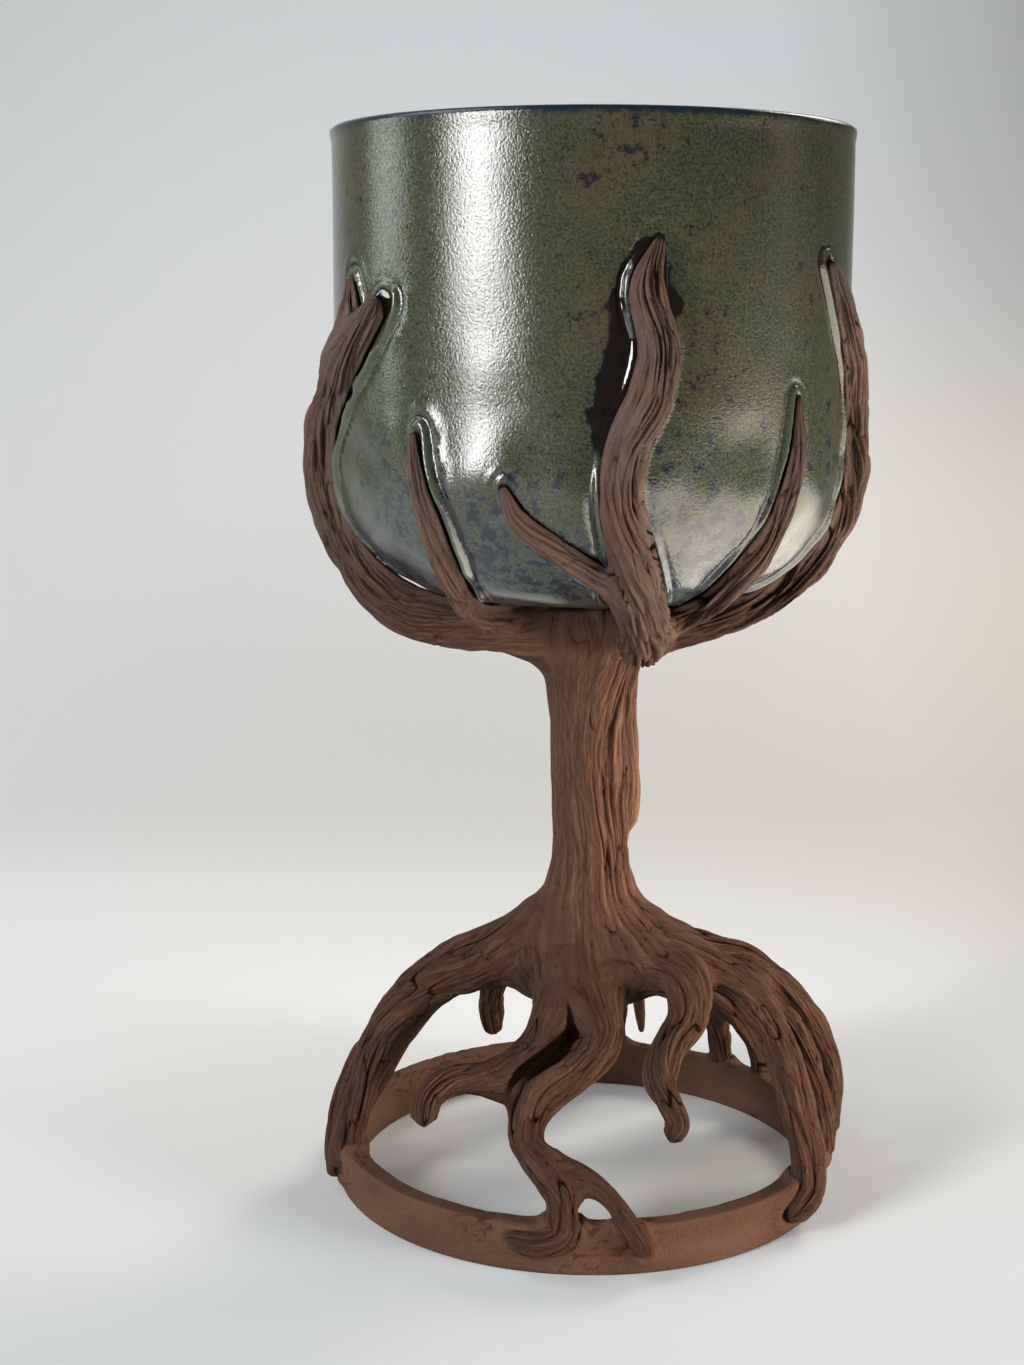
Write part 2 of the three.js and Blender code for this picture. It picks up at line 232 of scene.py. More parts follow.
paper = new_material("white card, matt")
tree = paper.node_tree
place = add(tree, "ShaderNodeTexCoord", {}, "Object")
aside = add(tree, "ShaderNodeSeparateXYZ", {"Vector": place}, "X")
depth = add(tree, "ShaderNodeSeparateXYZ", {"Vector": place}, "Y")
# Painted shade: the card is darker in front of the chalice and far to its right
behind = add(tree, "ShaderNodeMapRange", {"Value": depth, "From Min": NEAR_ENDS, "From Max": FAR_STARTS})
pale = add(tree, "ShaderNodeMix", {"Factor": behind, "A": NEAR_PAINTED_SHADE, "B": FAR_GREY}, data_type="RGBA")
beside = add(tree, "ShaderNodeMapRange", {"Value": aside, "From Min": MIDDLE_ENDS, "From Max": RIGHT_STARTS})
shade = add(tree, "ShaderNodeMix", {"Factor": beside, "A": pale, "B": RIGHT_PAINTED_SHADE}, data_type="RGBA")
card = add(tree, "ShaderNodeBsdfPrincipled", {"Base Color": shade, "Roughness": 0.8})
add(tree, "ShaderNodeOutputMaterial", {"Surface": card})
sweep_data.materials.append(paper)
print("card nodes:", len(tree.nodes))

# %% [markdown]
# ## Light
#
# Daylight comes from a tall window at the front left, which makes the long highlight down the cup. Two
# narrow windows draw thin lines along the cup's edges, and a skylight lights the roots from above. Low on
# the right the glaze mirrors a sunlit table: a lamp that lies on the floor and faces up, hidden from the
# camera. Weak lamps fill the clay on the right, the back of the ring and the card behind. A pale world
# lifts what is left.

# %% Light
SUBJECT = Vector((0, 0, 0.13))


def window(name, azimuth, height, distance, size, power, colour, aim=SUBJECT, spread=180):
    """A soft rectangular light at an azimuth (0 at the front, 90 at the right) that faces its aim."""
    data = bpy.data.lights.new(name, "AREA")
    data.shape = "RECTANGLE"
    data.size, data.size_y = size
    data.energy = power
    data.color = linear(colour)[:3]
    data.spread = math.radians(spread)
    lamp = bpy.data.objects.new(name, data)
    turn = math.radians(azimuth)
    lamp.location = (distance * math.sin(turn), -distance * math.cos(turn), height)
    lamp.rotation_euler = (aim - lamp.location).to_track_quat("-Z", "Y").to_euler()
    lamp.visible_camera = False
    bpy.context.scene.collection.objects.link(lamp)
    return lamp


# Each has its azimuth, its height and distance in metres, its size, its power in watts and its colour, and
# some have a place to aim at and a narrower spread in degrees
window("front_left_window", -47, 0.34, 0.85, (0.27, 0.5), 9.2, "#ffffff")
window("left_window", -96, 0.32, 0.8, (0.1, 0.4), 1.05, "#f0fff8")
window("right_window", 88, 0.32, 0.8, (0.06, 0.4), 0.07, "#f0faff")
window("left_skylight", -85, 0.95, 0.65, (0.6, 0.6), 2.8, "#f0f6ff")
window("sunlit_table", 90, 0.004, 0.68, (1.24, 0.8), 11.5, "#fff3e0", Vector((0.68, 0.02, 1)))
right_fill = window(
    "right_fill", 66, 0.055, 0.42, (0.25, 0.05), 0.45, "#f6faff", Vector((0, 0, 0.05)), 45,
)
window("back_right_lamp", 140, 0.55, 0.6, (0.3, 0.3), 0.35, "#fff4e4", Vector((0, 0, 0)), 60)
window("backdrop_lamp", 178, 0.62, 0.35, (0.9, 0.3), 2.0, "#eaf4ff", Vector((-0.05, 1.2, 0.55)))
window("right_backdrop_lamp", 122, 0.2, 0.75, (0.4, 0.2), 0.6, "#ffe3bd", Vector((0.17, 0.55, 0.05)), 70)
# The fill lights the clay without a second reflection in the glaze
right_fill.visible_glossy = False

world = bpy.data.worlds.new("pale room")
world.use_nodes = True
world.node_tree.nodes.clear()
sky = add(world.node_tree, "ShaderNodeBackground", {"Color": "#dfe3e6", "Strength": 0.12})
add(world.node_tree, "ShaderNodeOutputWorld", {"Surface": sky})
bpy.context.scene.world = world
bpy.context.scene.view_settings.view_transform = "Standard"

# %% [markdown]
# ## Routes
#
# A coil's route is a short list of given points. A root's point is an azimuth (0 at the front, 90 at the
# right), how far out it is on the way from the axis to the middle of the ring's wall, how far up on the way
# from the table to the collar, and the coil's radius in mm. A branch's point is an azimuth, a distance in
# mm along the cup's outline from the centre of its base, a radius, and how many radii the coil's middle
# stands off the cup. Points are kept few, because a smooth curve between them is what a rolled coil takes
# by itself.

# %% Root routes
ROOTS = {
    "left_root": [
        (-74, 0.12, 1.04, 7.2), (-78, 0.35, 1.02, 6.6), (-81, 0.57, 0.93, 6), (-82, 0.76, 0.77, 5.4),
        (-80, 0.9, 0.55, 4.7), (-77, 0.985, 0.33, 4), (-71, 1.035, 0.12, 3.2),
    ],
    "right_root": [
        (62, 0.14, 1.04, 5.4), (70, 0.44, 1.02, 4.8), (71, 0.64, 0.95, 4.5), (68, 0.8, 0.81, 4.4),
        (64, 0.915, 0.63, 4.3), (61, 0.99, 0.46, 4.2), (60, 1.045, 0.29, 4), (57, 1.08, 0.16, 3.5),
        (50, 1.085, 0.1, 2.5),
    ],
    "right_rear_root": [
        (92, 0.13, 1.03, 5.6), (92, 0.42, 1.02, 5), (95, 0.69, 0.93, 4.6), (96, 0.9, 0.75, 4.4),
        (95, 1.02, 0.54, 4.2), (90, 1.05, 0.36, 3.7), (85, 1.04, 0.21, 3),
    ],
    "front_root": [
        (-8, 0.16, 0.98, 4.4), (9, 0.36, 0.87, 4.1), (10, 0.48, 0.76, 3.9), (-3, 0.585, 0.64, 3.9),
        (-14, 0.695, 0.55, 3.9), (-15, 0.81, 0.44, 3.9), (-8.5, 0.9, 0.345, 3.7), (-4, 1, 0.255, 3.5),
        (-4, 1.08, 0.175, 3.1), (-9, 1.09, 0.14, 2.8), (-15, 1.085, 0.155, 1.9),
    ],
    "front_left_root": [
        (-24, 0.16, 0.97, 4.2), (-22, 0.37, 0.83, 3.9), (-24, 0.52, 0.7, 3.8), (-32, 0.69, 0.64, 3.7),
        (-39, 0.83, 0.65, 3.6), (-41.5, 0.915, 0.59, 3.5), (-41.5, 0.945, 0.48, 3),
    ],
    "front_right_root": [
        (46, 0.14, 1, 5), (52, 0.52, 0.965, 4.5), (47, 0.58, 0.845, 4.1), (35, 0.59, 0.735, 3.8),
        (28.5, 0.635, 0.64, 3.6), (29, 0.71, 0.55, 3.4), (30.5, 0.745, 0.47, 3.1), (28, 0.75, 0.41, 2.4),
    ],
    "back_root": [
        (172, 0.14, 0.99, 5), (170, 0.46, 0.95, 4.5), (169, 0.69, 0.78, 4.1), (170, 0.86, 0.55, 3.8),
        (171, 0.96, 0.34, 3.3), (172, 1.01, 0.15, 2.6),
    ],
    "back_right_root": [
        (126, 0.14, 0.99, 5), (130, 0.46, 0.95, 4.5), (134, 0.67, 0.8, 4.2), (137, 0.84, 0.6, 3.9),
        (139, 0.95, 0.38, 3.4), (140, 1.01, 0.16, 2.6),
    ],
    "back_left_root": [
        (-140, 0.14, 0.95, 4.8), (-138, 0.4, 0.87, 4.1), (-136, 0.555, 0.72, 3.3), (-136, 0.6, 0.57, 2.9),
        (-137, 0.595, 0.45, 1.9),
    ],
    "left_root_outer_strand": [
        (-84, 0.8, 0.66, 2.8), (-89, 0.95, 0.5, 2.8), (-86, 1.04, 0.3, 2.5), (-79, 1.075, 0.15, 2.2),
        (-73, 1.08, 0.075, 1.6),
    ],
    "left_root_rear_strand": [
        (-92, 0.36, 0.9, 3.6), (-99, 0.62, 0.77, 3.4), (-100, 0.78, 0.57, 3), (-99, 0.89, 0.36, 2.6),
        (-97, 0.97, 0.2, 2),
    ],
    "front_root_fork": [
        (-9, 0.88, 0.385, 2.7), (1, 0.95, 0.365, 2.4), (7.5, 1.025, 0.285, 2.4), (11, 1.085, 0.19, 2.4),
        (13, 1.085, 0.1, 2),
    ],
    "right_root_web_strand": [
        (82, 0.74, 0.86, 3.2), (80, 0.9, 0.69, 3.2), (79, 0.995, 0.49, 3.1), (77, 1.04, 0.32, 2.6),
        (75, 1.05, 0.19, 1.8),
    ],
    "back_right_root_fork": [
        (134, 0.76, 0.69, 2.7), (128, 0.9, 0.48, 2.5), (126, 0.99, 0.28, 2.2), (125, 1.01, 0.15, 1.8),
    ],
    "back_hanging_rootlet": [
        (150, 0.2, 0.94, 3.4), (152, 0.42, 0.8, 2.8), (154, 0.56, 0.62, 2), (154, 0.6, 0.43, 1.1),
    ],
}
print("roots:", len(ROOTS))

# %% Branch routes
BRANCHES = {
    "left_branch": [
        (-58, 6, 5.6, 1.1), (-62, 20, 5, 1.05), (-74, 34, 4.8, 1.05), (-81, 48, 4.3, 0.65),
        (-82, 58, 3.9, 0.5), (-78, 68, 3.7, 0.4), (-67, 77, 3.5, 0.4), (-57, 84, 3.1, 0.45),
        (-48, 91, 2.2, 0.45),
    ],
    "front_branch": [
        (33, 17, 5, 1.7), (27, 22, 5.1, 1.15), (20, 29, 5.1, 0.75), (15, 36, 5, 0.55),
        (9.5, 49, 4.3, 0.45), (6.5, 59, 3.6, 0.45), (7.3, 67, 3.7, 0.45), (12, 76, 3.8, 0.45),
        (13.6, 84, 3.6, 0.45), (11, 93, 3, 0.45), (13.4, 101, 0.8, 0.45),
    ],
    "right_branch": [
        (56, 8, 5, 1.3), (60, 22, 4.5, 1), (68, 36, 3.9, 0.6), (75, 48, 3.6, 0.3),
        (78, 58, 3.6, 0.2), (78, 70, 3.4, 0.2), (74, 81, 3.1, 0.2), (66, 90, 2.4, 0.3),
        (59, 98, 0.9, 0.45),
    ],
    "back_branch": [
        (186, 6, 5.6, 1.2), (184, 21, 5, 0.9), (178, 36, 4.5, 0.6), (172, 50, 4.1, 0.5),
        (173, 61, 3.9, 0.45), (181, 71, 3.7, 0.45), (186, 81, 3.3, 0.45), (183, 90, 2.6, 0.45),
        (178, 98, 0.9, 0.45),
    ],
    "left_branch_fork": [
        (-64, 79, 2.6, 0.45), (-60.5, 86, 2.4, 0.45), (-59, 90.5, 1.9, 0.45), (-60, 95, 0.8, 0.45),
    ],
    "left_twig": [
        (-56, 18, 3.1, 0.9), (-46, 28, 2.6, 0.6), (-38, 38, 2.3, 0.45), (-35, 47, 2.2, 0.45),
        (-35.5, 55, 2, 0.45), (-37.5, 62, 1.6, 0.45), (-38.5, 69, 0.6, 0.45),
    ],
    "front_twig": [
        (15, 34, 2.9, 0.55), (8, 40, 2.5, 0.5), (0.5, 45, 2.2, 0.45), (-8, 50.5, 2.1, 0.45),
        (-14.5, 55, 1.8, 0.45), (-17.3, 60.5, 0.6, 0.45),
    ],
    "right_twig": [
        (40, 10, 4, 0.9), (38, 23, 3.6, 0.6), (38, 33, 3, 0.45), (39.5, 43, 2.6, 0.45),
        (43, 53, 2.2, 0.45), (47, 63, 1.8, 0.45), (48, 75, 0.6, 0.45),
    ],
    "back_branch_fork": [
        (176, 55, 3, 0.45), (168, 64, 2.6, 0.45), (160, 72, 2.2, 0.45), (157, 81, 0.8, 0.45),
    ],
    "back_left_twig": [
        (-150, 8, 4, 0.9), (-142, 23, 3.6, 0.6), (-136, 38, 3.2, 0.45), (-134, 50, 2.7, 0.45),
        (-138, 62, 2, 0.45), (-141, 72, 0.7, 0.45),
    ],
    "back_right_twig": [
        (122, 8, 4, 0.9), (124, 23, 3.6, 0.6), (128, 38, 3.2, 0.45), (126, 49, 2.7, 0.45),
        (121, 60, 2, 0.45), (119, 69, 0.7, 0.45),
    ],
}
print("branches:", len(BRANCHES))

# %% Trunk route
# The trunk is a fat upright coil: how far up it each point is, in mm, and the radius there
TRUNK = [
    (0, 6), (2.5, 11), (TRUNK_COLLAR_RISE, 13.8), (14.5, 11.4), (21, 8.7), (30, 8.1), (42, 8.3), (54, 8.4),
    (63, 9.3), (71, 11.6), (TRUNK_TOP - TRUNK_UNDERSIDE, 13),
]
print(f"the trunk is {TRUNK[-1][0]:.1f} mm tall")

# %% [markdown]
# ## From a route to a coil
#
# Of the smooth curves through a list of points, the centripetal kind passes every point without
# overshooting. It is cut into even steps, each with a radius and a frame of two directions across the
# coil. Carrying the frame along from step to step keeps it from spinning, which a frame taken afresh at
# each step would do.

# %% Places on the chalice
def polar(azimuth, radius, height):
    """A place at an azimuth round the chalice's axis."""
    turn = math.radians(azimuth)
    return np.array([radius * math.sin(turn), -radius * math.cos(turn), height])


def root_point(azimuth, out, rise, radius):
    """A root's point as a place and a radius."""
    return polar(azimuth, out * RING_MIDDLE_RADIUS, rise * ROOT_CROWN), radius


def branch_point(azimuth, along, radius, lift):
    """A branch's point as a place and a radius: along the cup's base, round its corner and up its wall."""
    reach = CUP_CORNER + lift * radius
    corner_turn = min(max((along - CUP_FLAT_RADIUS) / CUP_CORNER, 0), math.pi / 2)
    rise = max(0, along - CUP_FLAT_RADIUS - CUP_CORNER * math.pi / 2)
    out = min(along, CUP_FLAT_RADIUS) + reach * math.sin(corner_turn)
    return polar(azimuth, out, CUP_BASE + CUP_CORNER - reach * math.cos(corner_turn) + rise), radius


def trunk_point(rise, radius):
    """The trunk's point as a place and a radius."""
    return np.array([TRUNK_LEAN_X, 0, TRUNK_UNDERSIDE + rise]), radius


print("the left branch starts at", branch_point(*BRANCHES["left_branch"][0])[0].round(1))


# %% Smooth curve
def smooth_line(knots, samples=24):
    """Points on a centripetal curve through the knots."""
    padded = np.vstack([2 * knots[0] - knots[1], knots, 2 * knots[-1] - knots[-2]])
    t = np.linspace(0, 1, samples, endpoint=False)[:, None]
    stretches = []
    for a, b, c, d in zip(padded, padded[1:], padded[2:], padded[3:]):
        ab, bc, cd = (math.sqrt(np.linalg.norm(q - p)) for p, q in ((a, b), (b, c), (c, d)))
        start = ((b - a) / ab - (c - a) / (ab + bc) + (c - b) / bc) * bc
        end = ((c - b) / bc - (d - b) / (bc + cd) + (d - c) / cd) * bc
        stretches.append(
            (2 * t**3 - 3 * t**2 + 1) * b
            + (t**3 - 2 * t**2 + t) * start
            + (3 * t**2 - 2 * t**3) * c
            + (t**3 - t**2) * end
        )
    return np.vstack([*stretches, knots[-1:]])


trunk_knots = np.array([trunk_point(*point)[0] for point in TRUNK])
print("the trunk's curve has", len(smooth_line(trunk_knots)), "points")

# %% Coils
Coil = namedtuple("Coil", "line radius along normal across heading")
COIL_STEP = 0.42
# A direction that no coil starts along, to choose the first frame by
SIDEWAYS = (0.31, 0.83, 0.46)


def unit(vectors):
    """Vectors made 1 long."""
    return vectors / np.linalg.norm(vectors, axis=-1, keepdims=True)


def coil_along(points):
    """The coil through points of (place, radius), cut into even steps."""
    knots = np.array([place for place, _ in points])
    rough = smooth_line(knots)
    share = np.linspace(0, len(knots) - 1, len(rough))
    rough_radius = np.interp(share, np.arange(len(knots)), [radius for _, radius in points])
    travelled = np.concatenate([[0], np.cumsum(np.linalg.norm(np.diff(rough, axis=0), axis=1))])
    along = np.linspace(0, travelled[-1], round(travelled[-1] / COIL_STEP) + 1)
    line = np.stack([np.interp(along, travelled, rough[:, axis]) for axis in range(3)], axis=1)
    heading = unit(np.gradient(line, axis=0))
    normal = np.empty_like(line)
    carried = np.cross(heading[0], SIDEWAYS)
    for step, ahead in enumerate(heading):
        carried = unit(carried - (carried @ ahead) * ahead)
        normal[step] = carried
    radius = np.interp(along, travelled, rough_radius)
    return Coil(line, radius, along, normal, np.cross(heading, normal), heading)


coils = {"trunk": coil_along([trunk_point(*point) for point in TRUNK])}
for name, route in ROOTS.items():
    coils[name] = coil_along([root_point(*point) for point in route])
for name, route in BRANCHES.items():
    coils[name] = coil_along([branch_point(*point) for point in route])
print("clay rolled out:", round(sum(coil.along[-1] for coil in coils.values())), "mm")

# %% [markdown]
# ## Noise for clay
#
# Nothing made by hand is even. Value noise gives smooth random hills: random numbers sit on the corners
# of a grid of cells and are blended between them. A cell's size in millimetres is the size of a hill.
# Stretched cells give long ridges, and the places where the noise crosses zero are long thin lines, which
# make creases.

# %% Clay noise
CELLS = 32
CELLS_PER_SHIFT = 7.3
corner_values = np.random.default_rng(4).uniform(-1, 1, (CELLS, CELLS, CELLS))


def hills(places, cell, shift=0.0):
    """Smooth random values from -1 to 1 at places in mm, with cells of one size or one for each axis."""
    scaled = places / np.asarray(cell, float) + CELLS_PER_SHIFT * shift
    corner = np.floor(scaled).astype(int)
    ease = scaled - corner
    ease = ease * ease * (3 - 2 * ease)
    low, high = corner % CELLS, (corner + 1) % CELLS
    total = np.zeros(len(places))
    for pick in range(8):
        side = [(pick >> axis) & 1 for axis in range(3)]
        index = tuple(np.where(side[axis], high[:, axis], low[:, axis]) for axis in range(3))
        weight = np.prod([ease[:, a] if side[a] else 1 - ease[:, a] for a in range(3)], axis=0)
        total += weight * corner_values[index]
    return total


def soft_step(low, high, value):
    """Eases from 0 at low to 1 at high, in either direction."""
    share = np.clip((value - low) / (high - low), 0, 1)
    return share * share * (3 - 2 * share)


def bump_at(offset, width):
    """A soft bump of height 1 across an offset of 0."""
    return np.exp(-((offset / width) ** 2))


print("noise corners:", corner_values.size)

# %% [markdown]
# ## Bark
#
# The bark was combed and torn into the soft coils with a tool drawn along them, so it is made of long
# ridges with sharp creases between, finer ones inside coarser ones, and it wanders round the coil as the
# clay was twisted. The relief is worked out round and along each coil, not in space, so it follows every
# bend.

# %% Combs
Comb = namedtuple("Comb", "twist lumps folds cracks")
# The twist is in radians for each 10 mm, and the lumps are in mm. Folds and cracks have their spacing, their
# length and their depth in mm
ROOT_COMB = Comb(0.12, 0.9, [(3.8, 16, 1.2), (1.6, 9, 0.75), (0.85, 4.5, 0.5)], (2.6, 5, 0.8))
BRANCH_COMB = Comb(0.2, 0.6, [(3.2, 18, 1.3), (1.5, 10, 1.5), (0.9, 5, 0.8)], (5, 9, 0.3))
TRUNK_COMB = Comb(0.03, 0.6, [(3.2, 26, 1.4), (1.6, 15, 1.5), (0.85, 7, 0.6)], (4, 10, 0.5))
print("folds that a comb leaves in a branch:", [f"{cut} mm deep" for _, _, cut in BRANCH_COMB.folds])

# %% Combed lines
TWIST_LENGTH = 10
# The combed lines wander round the coil by a turn in radians and ripple sideways by a shift in mm
WANDER_CELL = 22
WANDER_TURN = 0.6
RIPPLE_CELL = (4, 4, 9)
RIPPLE_SHIFT = 0.9


def on_coil(turn, along, radius):
    """Places on a straight coil at a turn round it and a distance along it."""
    return np.stack([radius * np.cos(turn), radius * np.sin(turn), along], axis=1)


def untwisted(angle, along, radius, twist, seed):
    """Where places on a coil lie in the clay once its twist is undone, so that combed lines run straight."""
    wander = hills(np.stack([along, 0 * along, 0 * along], axis=1), WANDER_CELL, seed + 0.37)
    turn = angle + twist * along / TWIST_LENGTH + WANDER_TURN * wander
    turn = turn + RIPPLE_SHIFT / radius * hills(on_coil(turn, along, radius), RIPPLE_CELL, seed + 0.8)
    return on_coil(turn, along, radius)


print(f"a branch twists by {math.degrees(BRANCH_COMB.twist):.0f} degrees in {TWIST_LENGTH} mm")

# %% Bark
COARSE_LUMP, COARSE_LUMP_CELL = 0.6, (7, 7, 16)
FINE_LUMP, FINE_LUMP_CELL = 0.4, (3, 3, 6)
# The height of a lump and of a ridge that lies level with the coil's smooth skin
LEVEL_LUMP = 0.65
LEVEL_RIDGE = 0.6
HIGHEST_RIDGE = 0.45
# Value noise crosses zero about once in this many cells
CELLS_PER_FOLD = 1.75
FOLD_SHARPNESS = 0.75
# The comb pressed harder in patches, and elsewhere left this share of its depth
PATCH_EDGE = (-0.5, 0.2)
BESIDE_PATCHES = 0.4
# A ridge is 0 in its crease and near 1 on its crest. These say where the painted shade in the crease sets
# in and is full, and where the crest's paleness, of rubbed wear and a painted highlight, does
CREASE = (0.14, 0.02)
CREST = (0.4, 0.75)
TEAR_CELL = 5
TEAR_EDGE = (0.15, 0.4)
CRACK_WIDTH = 0.035
# How dark the painted shade in a crack is
CRACK_PAINTED_SHADE = 0.6
FIBRE_STRETCH = 9


def bark(angle, along, radius, comb, depth, seed):
    """The bark round and along a coil.

    Gives the relief in mm, the painted shade of its creases and cracks, how pale its ridges are from rubbed
    wear and a painted highlight, and its place in the untwisted clay.
    """
    clay = untwisted(angle, along, radius, comb.twist, seed)
    lumps = COARSE_LUMP * hills(clay, COARSE_LUMP_CELL, seed)
    lumps += FINE_LUMP * hills(clay, FINE_LUMP_CELL, seed + 0.6)
    relief = comb.lumps * (lumps - LEVEL_LUMP)
    painted_shade, rubbed_and_highlit = np.zeros(len(along)), np.zeros(len(along))
    for number, (spacing, length, cut) in enumerate(comb.folds):
        cell = spacing / CELLS_PER_FOLD
        ridge = np.abs(hills(clay, (cell, cell, length), seed + number + 1)) ** FOLD_SHARPNESS
        patch = soft_step(*PATCH_EDGE, hills(clay, (2 * spacing, 2 * spacing, length), seed + number + 11))
        worked = depth ** (1 / (1 + number)) * (BESIDE_PATCHES + (1 - BESIDE_PATCHES) * patch)
        relief += cut * worked * (ridge - LEVEL_RIDGE)
        # Painted shade in each crease, and crests painted paler as rubbed wear and a painted highlight
        crease_shade = np.minimum(1, depth) * worked * min(1, cut) * soft_step(*CREASE, ridge)
        painted_shade = np.maximum(painted_shade, crease_shade)
        rubbed_and_highlit += cut * worked * soft_step(*CREST, ridge) / 2
    spacing, length, cut = comb.cracks
    cell = spacing / CELLS_PER_FOLD
    torn = soft_step(*TEAR_EDGE, hills(clay, (TEAR_CELL, TEAR_CELL, length), seed + 22))
    crack = torn * bump_at(hills(clay, (cell, cell, length), seed + 21), CRACK_WIDTH)
    painted_shade = np.maximum(painted_shade, CRACK_PAINTED_SHADE * crack)
    relief = np.minimum(relief, HIGHEST_RIDGE) - cut * crack
    return relief, painted_shade, np.clip(rubbed_and_highlit, 0, 1), clay / (1, 1, FIBRE_STRETCH)


print(f"no ridge stands more than {HIGHEST_RIDGE} mm above a coil's smooth skin")

# %% [markdown]
# ## Smearing a joint
#
# The potter scored the two faces, brushed on slip and smeared the edge over with a thumb. So where a coil
# nears another piece, its skin swells to meet that piece's swollen skin in a hollow curve, and past that
# line it runs on under it. Joining the meshes would melt the pieces into one, so each piece swells by
# itself: how far follows from the distance to the other piece and the thumb's softness.

# %% Distances
# In mm, farther than any place here is from any piece
FAR_OFF = 1e3


def coil_distance(places, coil, every=4):
    """How far places lie outside a coil, in mm, less than 0 inside it, and the coil's nearest step."""
    nearest = np.full(len(places), FAR_OFF)
    nearest_step = np.zeros(len(places), int)
    stops = list(range(0, len(coil.line) - 1, every)) + [len(coil.line) - 1]
    for a, b in zip(stops, stops[1:]):
        run = coil.line[b] - coil.line[a]
        share = np.clip((places - coil.line[a]) @ run / (run @ run), 0, 1)
        gap = np.linalg.norm(places - coil.line[a] - share[:, None] * run, axis=1)
        gap -= coil.radius[a] + share * (coil.radius[b] - coil.radius[a])
        closer = gap < nearest
        nearest[closer] = gap[closer]
        nearest_step[closer] = a
    return nearest, nearest_step


def ring_distance(places):
    """How far places lie outside the foot ring, in mm."""
    off_wall = np.abs(np.hypot(places[:, 0], places[:, 1]) - RING_MIDDLE_RADIUS) - RING_WALL / 2
    off_height = np.abs(places[:, 2] - RING_HEIGHT / 2) - RING_HEIGHT / 2
    outside = np.hypot(np.maximum(off_wall, 0), np.maximum(off_height, 0))
    return outside + np.minimum(np.maximum(off_wall, off_height), 0)


def cup_distance(places):
    """How far places lie outside the cup's outer face, in mm."""
    out = np.hypot(places[:, 0], places[:, 1])
    rise = places[:, 2] - CUP_BASE
    past_flat = np.maximum(out - CUP_FLAT_RADIUS, 0)
    round_corner = np.hypot(past_flat, np.minimum(rise - CUP_CORNER, 0)) - CUP_CORNER
    return np.where(rise > CUP_CORNER, out - CUP_RADIUS, round_corner)


front_tip = coils["front_branch"].line[-1:]
print(f"the front branch's tip is {cup_distance(front_tip)[0]:.1f} mm off the cup")

# %% Smears
# The thumb's softness in mm at each kind of joint
THUMB_ON_ROOT_CROWN = 3.5
THUMB_ON_BRANCH_CROWN = 3.0
THUMB_ON_TORN_BRANCH = 1.0
THUMB_ON_COIL = 1.2
THUMB_IN_HOLLOW = 3.6
THUMB_ON_RING = 0.9
THUMB_ON_CUP = 0.6
TORN_BRANCHES = ("front_branch", "right_branch", "right_twig")
# Two roots that keep a hollow between them, closed at its back, with painted shade in it
HOLLOW = ("front_left_root", "front_root")
# Two skins meet where each has swelled by this many thumbs. A skin farther off than the reach, also in
# thumbs, doesn't swell
MEETING = math.log(2)
SMEAR_REACH = 4
# Past that line a skin rises by this share of its way in, and is back at rest this many thumbs inside
RUN_ON = 0.8
RUN_ON_DEPTH = 1.5
SMEAR_PASSES = 3


def thumb_between(name, other):
    """The softness of the thumb that smeared the joint of two pieces."""
    if name in HOLLOW and other in HOLLOW:
        return THUMB_IN_HOLLOW
    if name in TORN_BRANCHES or other in TORN_BRANCHES:
        return THUMB_ON_TORN_BRANCH
    if "trunk" in (name, other):
        return THUMB_ON_BRANCH_CROWN if name in BRANCHES or other in BRANCHES else THUMB_ON_ROOT_CROWN
    return THUMB_ON_COIL


def smear(distance, thumb):
    """How far a skin swells at a distance from another piece. Past the meeting line it runs on, hidden."""
    meeting = thumb * MEETING
    curve = -thumb * np.log(1 - np.exp(-np.maximum(distance, meeting) / thumb))
    hidden = meeting + RUN_ON * np.clip(meeting - distance, 0, meeting)
    return np.where(distance > meeting, curve, hidden * soft_step(-RUN_ON_DEPTH * thumb, 0, distance))


def settled(skin, outward, distance, thumb):
    """The swelling along outward that lands on the hollow curve, found by trying a few times."""
    swell = smear(distance(skin), thumb)
    for _ in range(SMEAR_PASSES):
        swell = (swell + smear(distance(skin + swell[:, None] * outward), thumb)) / 2
    return swell


print(f"a trunk and a root swell {THUMB_ON_ROOT_CROWN * MEETING:.1f} mm where they meet")


# %% Swelling
def swelling(name, skin, outward):
    """How far each place on a piece's skin swells to the clay near it, and how close joints are to it.

    The closeness to the trunk is given apart from that to other pieces.
    """
    swell, closeness, trunk_closeness = (np.zeros(len(skin)) for _ in range(3))

    def spread_to(near, distance, thumb, close):
        reach = settled(skin[near], outward[near], distance, thumb)
        swell[near] = np.maximum(swell[near], reach)
        close[near] = np.maximum(close[near], np.clip(reach / (thumb * MEETING), 0, 1))

    for other, coil in coils.items():
        thumb = thumb_between(name, other)
        close = trunk_closeness if other == "trunk" else closeness
        margin = coil.radius.max() + SMEAR_REACH * thumb
        beside = np.all((skin > coil.line.min(0) - margin) & (skin < coil.line.max(0) + margin), axis=1)
        near = np.flatnonzero(beside)
        near = near[coil_distance(skin[near], coil)[0] < SMEAR_REACH * thumb]
        if other != name and len(near):
            spread_to(near, lambda places: coil_distance(places, coil)[0], thumb, close)
    everywhere = np.arange(len(skin))
    if name in ROOTS:
        spread_to(everywhere, ring_distance, THUMB_ON_RING, closeness)
    if name in BRANCHES:
        spread_to(everywhere, cup_distance, THUMB_ON_CUP, closeness)
    return swell, closeness, trunk_closeness


front_swell, _, _ = swelling("front_branch", front_tip, np.array([[0.0, 1.0, 0.0]]))
print(f"the front branch's tip swells {front_swell[0]:.1f} mm to the cup")

# %% [markdown]
# ## Rolling the coils
#
# Each coil starts as a straight blank, a cone with equal ends whose long edges are cut into rings, as a
# potter rolls clay on a table. It is then bent along its route: a corner's height on the blank says how
# far along it goes, and its angle says where round. Bark and smears move the skin in and out on the way.

# %% Blanks
CAP_INSET = 0.4
pieces = {}


